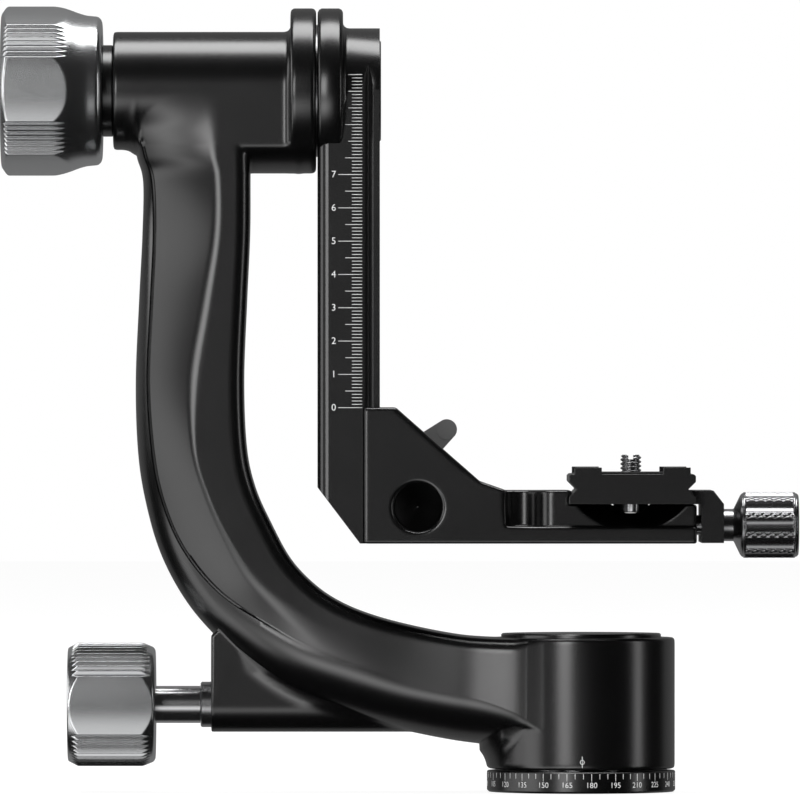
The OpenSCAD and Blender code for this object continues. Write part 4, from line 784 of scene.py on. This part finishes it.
def bracket_shaper(field, x, y, z):
    """Round the long edges of the bracket, and cut its step, pockets, bowls and round hole."""
    width = np.abs(y)
    slope_line = 0.66 * (x + 55.9) + 0.751 * (z - BRACKET_TOP)
    left = np.maximum(np.maximum(z - BRACKET_TOP, slope_line), x - 20)
    deck = np.maximum(x - DECK_X, z - DECK_TOP)
    upper = np.maximum(fillet(left + 0 * y, deck + 0 * y, 9.0), x - DECK_X)
    front = fillet(upper, z - PLATE_Z + 0 * x, 6.0)
    front = -soft_min(-front, -(width - SIDE + 0 * front), 1.2)
    corner = np.maximum(-8.5 - x, 0), np.maximum(width - (SIDE - STEP_IN - CORNER_R), 0)
    block = np.sqrt(corner[0] ** 2 + corner[1] ** 2) - CORNER_R
    core = np.maximum(width - CORE_HALF, x) + 0 * z
    inner = np.maximum(fillet(block + 0 * z, core, 3.0), z - DECK_TOP)
    hub = np.maximum(np.sqrt((x - HUB_X) ** 2 + (z - HUB_Z) ** 2) - HUB_R, -y)
    near_gib = ((x > gib_low[0]) & (x < gib_high[0]) & (y > gib_low[1]) & (y < gib_high[1])
                & (z > gib_low[2]) & (z < gib_high[2]))
    shaped = np.maximum(field + GIB_ROOM * near_gib, np.minimum(np.minimum(front, inner), hub))
    bowl = BOWL_R - np.sqrt((x - CLAMP_X) ** 2 + (width - SIDE + STEP_IN) ** 2 + (z - BOWL_Z) ** 2)
    shaped = np.maximum(shaped, np.minimum(bowl, z - PLATE_Z))
    inside = HOLE_R - np.sqrt((x - HOLE_X) ** 2 + (z - HOLE_Z) ** 2)
    return np.maximum(shaped, np.minimum(inside, HOLE_DEEP + HOLE_CONE * inside - (y + SIDE)))


gib_low, gib_high = places_of("rail_gib").min(0) - GIB_REACH, places_of("rail_gib").max(0) + GIB_REACH
mesh, points = nodes["platform_bracket"].data, places_of("platform_bracket")
mesh.calc_loop_triangles()
triangles = [tuple(t.vertices) for t in mesh.loop_triangles]
low = points.min(0) - 4 * SOFT_STEP
size = np.ceil((points.max(0) + 4 * SOFT_STEP - low) / SOFT_STEP).astype(int)
x, y, z = np.meshgrid(*(low[k] + SOFT_STEP * np.arange(size[k]) for k in range(3)),
                      indexing="ij", sparse=True)
field = bracket_shaper(mesh_field(points, triangles, [], low, size, SOFT_STEP, 6.0), x, y, z)
field = field.astype(np.float32)
field = np.ascontiguousarray(np.maximum(blurred(field, SOFT_BLURS), field))
points, faces, normals = field_surface(field, np.gradient(field, SOFT_STEP), low, SOFT_STEP,
                                       BRACKET_FACES)
make_piece("clamp_bracket", points, faces, "platform", black,
           ("platform_bracket",), normals)

# %% [markdown]
# The two silver knobs have wide flats with sharp ribs between them. A turned profile gives the
# radius along the knob, and a ribbed outline gives it round the knob. The smaller of the two, with
# a little softening where they meet, is what a lathe and a milling cutter would leave.

# %% Helpers: turned profiles
def rounded(points, radii, step=0.4):
    """A profile whose corners are rounded and whose straights are cut into short steps."""
    points = np.array(points, float)
    made = [points[0]]
    for i in range(1, len(points) - 1):
        before, here, after = points[i - 1], points[i], points[i + 1]
        to_a, to_b = before - here, after - here
        la, lb = np.linalg.norm(to_a), np.linalg.norm(to_b)
        cut = min(radii[i] if np.ndim(radii) else radii, 0.45 * la, 0.45 * lb)
        a, b = here + to_a / la * cut, here + to_b / lb * cut
        for t in (np.linspace(0, 1, 5) if cut > 0.01 else (0.5,)):
            made.append((1 - t) ** 2 * a + 2 * t * (1 - t) * here + t * t * b)
    made.append(points[-1])
    fine = [made[0]]
    for a, b in zip(made, made[1:]):
        n = max(1, int(math.ceil(np.linalg.norm(b - a) / step)))
        fine += [a + (b - a) * k / n for k in range(1, n + 1)]
    return np.array(fine)


def lathe(profile, around, shape=None, centre_z=0.0, axis="x", centre_x=0.0):
    """Points and faces of a profile of (along, radius) turned about an axis; shape may change it."""
    angle = np.arange(around) * 2 * math.pi / around
    along, radius = profile[:, 0][:, None], profile[:, 1][:, None]
    radius = np.repeat(radius, around, 1)
    if shape is not None:
        radius = shape(angle[None, :], along, radius)
    along = np.repeat(along, around, 1)
    if axis == "x":
        points = np.stack([along, -radius * np.cos(angle), centre_z + radius * np.sin(angle)], -1)
    else:
        points = np.stack([centre_x + radius * np.sin(angle), -radius * np.cos(angle), along], -1)
    return points.reshape(-1, 3), grid_faces(len(profile), around)


CROWN = 0.8


def ribbed(radius, flats, flat_half, grooves, depth):
    """Radius round a knob: crowned flats with V grooves between them. The first faces the camera."""
    period, half = 2 * math.pi / flats, math.radians(flat_half)
    pitch = (period - 2 * half) / grooves

    def at(angle):
        from_flat = (angle + period / 2) % period - period / 2
        flat = radius * math.cos(half) / np.cos(np.clip(from_flat, -half, half))
        flat = flat + CROWN * np.clip(1 - (from_flat / half) ** 2, 0, 1)
        across = np.abs(((np.abs(from_flat) - half) / pitch) % 1 - 0.5) * 2
        ribs = radius - depth * (1 - across)
        return np.where(np.abs(from_flat) < half, flat, ribs)
    return at


# %% [markdown]
# The panning lock's knob has three flats. Its ends are turned away in a cone, so that the ribs end
# in a zigzag. Inside, a stepped hole takes the shaft and the screw's head.

# %% Panning lock knob
LOCK_LEFT, LOCK_RIGHT = -154.7, -128.3
outline = ribbed(18.6, 3, 28.2, 11, 0.9)
profile = rounded([(LOCK_LEFT + 2.59, 0.01), (LOCK_LEFT + 2.59, 4.02), (LOCK_LEFT, 4.02),
                   (LOCK_LEFT, 17.0), (LOCK_LEFT + 3.4, 18.75), (LOCK_RIGHT - 4.2, 18.75),
                   (LOCK_RIGHT - 0.6, 17.3), (LOCK_RIGHT, 16.4), (LOCK_RIGHT, 5.62),
                   (LOCK_LEFT + 5.0, 5.62), (LOCK_LEFT + 5.0, 0.01)],
                  [0, 0.1, 0.2, 0.5, 0.6, 0.8, 0.6, 0.5, 0.3, 0.1, 0], 0.5)
knob_points, knob_faces = lathe(profile, 1080, lambda angle, along, radius:
                                soft_min(outline(angle), radius, 0.12), LOCK_Z)
make_piece("three_sided_knob", knob_points, knob_faces, "pan_lock", silver,
           ("pan_lock_knob",))

# %% [markdown]
# The tilt lock's knob is larger and has five flats. Towards the arm it is turned down in a hollow
# cone, where the flats run out in a point, and it ends in a smooth waist.

# %% Tilt lock knob
TILT_LEFT, TILT_RIGHT = -174.75, -144.35
outline_5 = ribbed(25.6, 5, 22.3, 7, 0.95)
profile = rounded([(TILT_LEFT + 2.99, 7.5), (TILT_LEFT + 2.99, 14.02), (TILT_LEFT, 14.02),
                   (TILT_LEFT, 23.0), (TILT_LEFT + 1.95, 25.75), (TILT_LEFT + 15.6, 25.75),
                   (TILT_LEFT + 19.5, 24.85), (TILT_LEFT + 23.3, 23.4), (TILT_LEFT + 25.6, 22.72),
                   (TILT_RIGHT - 1.3, 22.4), (TILT_RIGHT - 0.4, 21.6), (TILT_RIGHT, 20.6),
                   (TILT_RIGHT, 9.02), (TILT_LEFT + 10.9, 9.02), (TILT_LEFT + 10.9, 7.52),
                   (TILT_LEFT + 3.1, 7.52)],
                  [0, 0.1, 0.3, 0.7, 0.9, 1.5, 1.8, 1.2, 1.0, 0.6, 0.4, 0.4, 0.3, 0.1, 0.1, 0], 0.5)
knob_points, knob_faces = lathe(profile, 1200, lambda angle, along, radius:
                                soft_min(outline_5(angle), radius, 0.15), TILT_Z)
make_piece("five_sided_knob", knob_points, knob_faces, "tilt_lock", silver,
           ("tilt_lock_knob",))

# %% [markdown]
# The clamp's knob has smooth flutes for the fingers, and diamond knurling on the lands between
# them. Knurling is two families of fine grooves that run round the knob left- and right-handed,
# so the radius drops along both, and diamonds stay between them.

# %% Clamp knob
NECK_X, CONE_X = 42.67, 45.97
CLAMP_RIGHT, CLAMP_R = 65.57, 9.9
FLUTES, FLUTE_R, DIAMONDS, DIAMOND_L, KNURL_D = 10, 3.6, 40, 2.7, 0.32
KNURL_FROM, KNURL_TO = 49.3, 64.1


def knurled(angle, along, radius):
    """The clamp knob's radius, with its flutes and its two families of grooves."""
    step = 2 * math.pi / FLUTES
    off = (angle + step / 2) % step - step / 2
    centre = CLAMP_R + FLUTE_R - 1.15
    reach = centre * np.cos(off) - np.sqrt(np.maximum(FLUTE_R ** 2 - (centre * np.sin(off)) ** 2, 0))
    inside = np.abs(centre * np.sin(off)) < FLUTE_R
    fluted = np.where(inside, reach, 99.0)
    ends = np.clip(np.minimum(along - KNURL_FROM, KNURL_TO - along) / 0.25, 0, 1)
    turns = angle * DIAMONDS / (2 * math.pi)
    cuts = [np.abs(((turns + side * along / DIAMOND_L) % 1) - 0.5) * 2 for side in (-1, 1)]
    knurl = KNURL_D * np.maximum(np.clip((cuts[0] - 0.45) / 0.55, 0, 1),
                                 np.clip((cuts[1] - 0.45) / 0.55, 0, 1))
    land = radius - knurl * ends
    fluted = fluted + (radius - fluted) * (1 - ends)
    return np.where(along > CONE_X + 1.5, np.minimum(land, fluted), radius)


profile = rounded([(NECK_X, 3.02), (NECK_X, 4.85), (CONE_X, 4.85), (CONE_X + 2, 9.0),
                   (CONE_X + 2.6, 9.6), (KNURL_FROM - 0.5, 9.6), (KNURL_FROM - 0.3, CLAMP_R),
                   (KNURL_TO + 0.3, CLAMP_R), (KNURL_TO + 0.5, 9.6), (CLAMP_RIGHT - 0.5, 9.5),
                   (CLAMP_RIGHT, 8.9), (CLAMP_RIGHT, 0.01)],
                  [0, 0.25, 0.3, 0.4, 0.3, 0.1, 0.1, 0.1, 0.1, 0.3, 0.3, 0], 0.16)
bottom = [(NECK_X + 15.0, 0.01), (NECK_X + 15.0, 3.02)]
profile = np.concatenate([bottom, profile])
knob_points, knob_faces = lathe(profile, 640, knurled, CLAMP_Z)
make_piece("knurled_knob", knob_points, knob_faces, "clamp", dark_chrome,
           ("clamp_knob",))

# %% [markdown]
# The camera screw is a 1/4 inch screw with twenty threads to the inch, so one turn climbs 1.27 mm.
# Its radius follows a triangle wave that winds up the screw, and a slot across the end takes a
# coin or a screwdriver.

# %% Camera screw
SCREW_R, ROOT_R, PITCH = 3.175, 2.55, 1.27
HEAD_LOW, HEAD_TOP, THREAD_LOW, SCREW_TOP = 84.1, 86.7, 95.9, 101.5


def threaded(angle, along, radius):
    """The camera screw's radius, with a thread that runs out at the top."""
    wave = np.abs(((along / PITCH - angle / (2 * math.pi)) % 1) - 0.5) * 2
    cut = ROOT_R + (SCREW_R - ROOT_R) * np.clip(wave * 1.5 - 0.2, 0, 1)
    top = np.clip((SCREW_TOP - along) / 0.5, 0, 1) * 0.6 + ROOT_R
    worn = np.minimum(cut, top)
    return np.where((along > THREAD_LOW) & (radius > ROOT_R - 0.1), np.minimum(radius, worn), radius)


profile = rounded([(HEAD_LOW + 1.2, 0.01), (HEAD_LOW + 1.2, 1.6), (HEAD_LOW, 1.6), (HEAD_LOW, 5.3),
                   (HEAD_TOP, 5.3), (HEAD_TOP, 2.575), (THREAD_LOW, 2.575), (THREAD_LOW, SCREW_R),
                   (SCREW_TOP, SCREW_R), (SCREW_TOP, 0.01)],
                  [0, 0.1, 0.2, 0.3, 0.3, 0.1, 0, 0, 0.05, 0], 0.12)
screw_points, screw_faces = lathe(profile, 96, threaded, axis="z", centre_x=CLAMP_X)
screw = make_piece("threaded_camera_screw", screw_points, screw_faces, "screw", steel_z,
                   ("camera_screw",))
cutter_mesh = bpy.data.meshes.new("slot_cutter")
corners = [((CLAMP_X + x) * MM, y * MM, z * MM) for x in (-0.75, 0.75) for y in (-4, 4)
           for z in (SCREW_TOP - 1.4, SCREW_TOP + 1)]
cutter_mesh.from_pydata(corners, [], [(0, 1, 3, 2), (4, 6, 7, 5), (0, 4, 5, 1), (2, 3, 7, 6),
                                      (0, 2, 6, 4), (1, 5, 7, 3)])
cutter = bpy.data.objects.new("slot_cutter", cutter_mesh)
bpy.context.scene.collection.objects.link(cutter)
slot_cut = screw.modifiers.new("slot", "BOOLEAN")
slot_cut.operation, slot_cut.object, slot_cut.solver = "DIFFERENCE", cutter, "EXACT"
baked = bpy.data.meshes.new_from_object(screw.evaluated_get(bpy.context.evaluated_depsgraph_get()))
screw.modifiers.clear()
screw.data = baked
bpy.data.objects.remove(cutter)
print("screw slot cut,", len(baked.polygons), "faces")

# %% [markdown]
# The ruler on the rail and the degree scale on the base are filled with white enamel. Each line is
# a thin plate that stands a hundredth of a millimetre proud, so it is real geometry. The digits
# are text turned into mesh, and those of the base are wrapped round its cylinder.

# %% Helper: enamel marks
MARK_T = 0.02


def digit_mesh(text, size):
    """The outline of a text as points and faces in millimetres, centred, facing up +Z."""
    curve = bpy.data.curves.new("digits", "FONT")
    curve.body, curve.size, curve.align_x, curve.align_y = text, size, "CENTER", "CENTER"
    curve.resolution_u = 4
    holder = bpy.data.objects.new("digits", curve)
    bpy.context.scene.collection.objects.link(holder)
    mesh = bpy.data.meshes.new_from_object(
        holder.evaluated_get(bpy.context.evaluated_depsgraph_get()))
    points = np.array([v.co for v in mesh.vertices])
    faces = [list(p.vertices) for p in mesh.polygons]
    bpy.data.objects.remove(holder)
    return points, faces


def plate(x0, x1, y0, y1, columns=1):
    """A flat strip from x0 to x1, cut into columns so that it can be wrapped."""
    xs = np.linspace(x0, x1, columns + 1)
    points = np.array([(x, y, 0.0) for x in xs for y in (y0, y1)])
    return points, [[2 * i, 2 * i + 2, 2 * i + 3, 2 * i + 1] for i in range(columns)]


def marks_piece(name, parts, place, body):
    """Joins flat marks, gives them a thickness and puts each point where place says."""
    mesh = bmesh.new()
    for points, faces in parts:
        verts = [mesh.verts.new(p) for p in points]
        for f in faces:
            mesh.faces.new([verts[i] for i in f])
    bmesh.ops.remove_doubles(mesh, verts=mesh.verts, dist=1e-5)
    bmesh.ops.dissolve_degenerate(mesh, edges=mesh.edges, dist=1e-5)
    top = bmesh.ops.extrude_face_region(mesh, geom=mesh.faces[:])
    for v in top["geom"]:
        if isinstance(v, bmesh.types.BMVert):
            v.co.z += MARK_T
    bmesh.ops.recalc_face_normals(mesh, faces=mesh.faces)
    mesh.verts.index_update()
    points = place(np.array([v.co for v in mesh.verts]))
    faces = [[v.index for v in f.verts] for f in mesh.faces]
    mesh.free()
    return make_piece(name, points, faces, body, enamel)


# %% [markdown]
# The ruler starts at 0 on its lowest line and climbs in millimetres to 10 cm. Every fifth line is
# longer, and every tenth is longer still. The tenths up to 7 have their number.

# %% Ruler on the rail
RULER_X, ZERO_Z, RAIL_FACE_Y = -65.95, 115.7, -18.9
ruler = []
for mm in range(0, 101):
    length = 7.2 if mm % 10 == 0 else (5.1 if mm % 5 == 0 else 3.1)
    if mm in (80, 90, 100):
        length = 4.2
    points, faces = plate(-length, 0, -0.09, 0.09)
    ruler.append((points + (0, mm, 0), faces))
for number in range(0, 8):
    points, faces = digit_mesh(str(number), 2.9)
    ruler.append((points + (-8.55, number * 10, 0), faces))


def on_rail(points):
    """Stands flat marks upright on the front of the rail."""
    return np.stack([RULER_X + points[:, 0], RAIL_FACE_Y + 0.005 - points[:, 2],
                     ZERO_Z + points[:, 1]], 1)


marks_piece("rail_ruler", ruler, on_rail, "swing")

# %% [markdown]
# The base carries 360 degrees, a line every five degrees and a number every fifteen. An index mark
# on the housing shows the angle: a small ring with a line through it.

# %% Degree scale on the base and the index mark
BASE_R, SCALE_FRONT = 28.4, 174.3


def on_base(points):
    """Wraps points given as (degrees, height, proud) round the base; degrees grow to the right."""
    angle = np.radians(points[:, 0] - SCALE_FRONT)
    radius = BASE_R - 0.005 + points[:, 2]
    return np.stack([radius * np.sin(angle), -radius * np.cos(angle), points[:, 1]], 1)


scale = []
per_mm = math.degrees(1 / BASE_R)
for degree in range(0, 360, 5):
    low = 3.7 if degree % 15 == 0 else 4.35
    points, faces = plate(-0.09 * per_mm, 0.09 * per_mm, low, 5.9)
    scale.append((points + (degree, 0, 0), faces))
    if degree % 15 == 0:
        points, faces = digit_mesh(str(degree), 2.35)
        points = points * (per_mm, 1, 1) + (degree, 2.45, 0)
        scale.append((points, faces))
marks_piece("degree_scale", scale, on_base, "base")

index = [plate(-0.1, 0.1, 7.75, 8.75), plate(-0.1, 0.1, 10.15, 11.15)]
turn = np.linspace(0, 2 * math.pi, 33)[:-1]
ring = np.concatenate([np.stack([0.7 * np.sin(turn), 9.45 + 0.7 * np.cos(turn), 0 * turn], 1),
                       np.stack([0.52 * np.sin(turn), 9.45 + 0.52 * np.cos(turn), 0 * turn], 1)])
index.append((ring, [[i, (i + 1) % 32, 32 + (i + 1) % 32, 32 + i] for i in range(32)]))
index.append(plate(-0.07, 0.07, 8.93, 9.97))


def on_housing(points):
    """Wraps flat marks round the front of the housing."""
    angle = points[:, 0] / HOUSING_R
    radius = HOUSING_R - 0.005 + points[:, 2]
    return np.stack([radius * np.sin(angle), -radius * np.cos(angle), points[:, 1]], 1)


marks_piece("index_mark", index, on_housing, "arm")
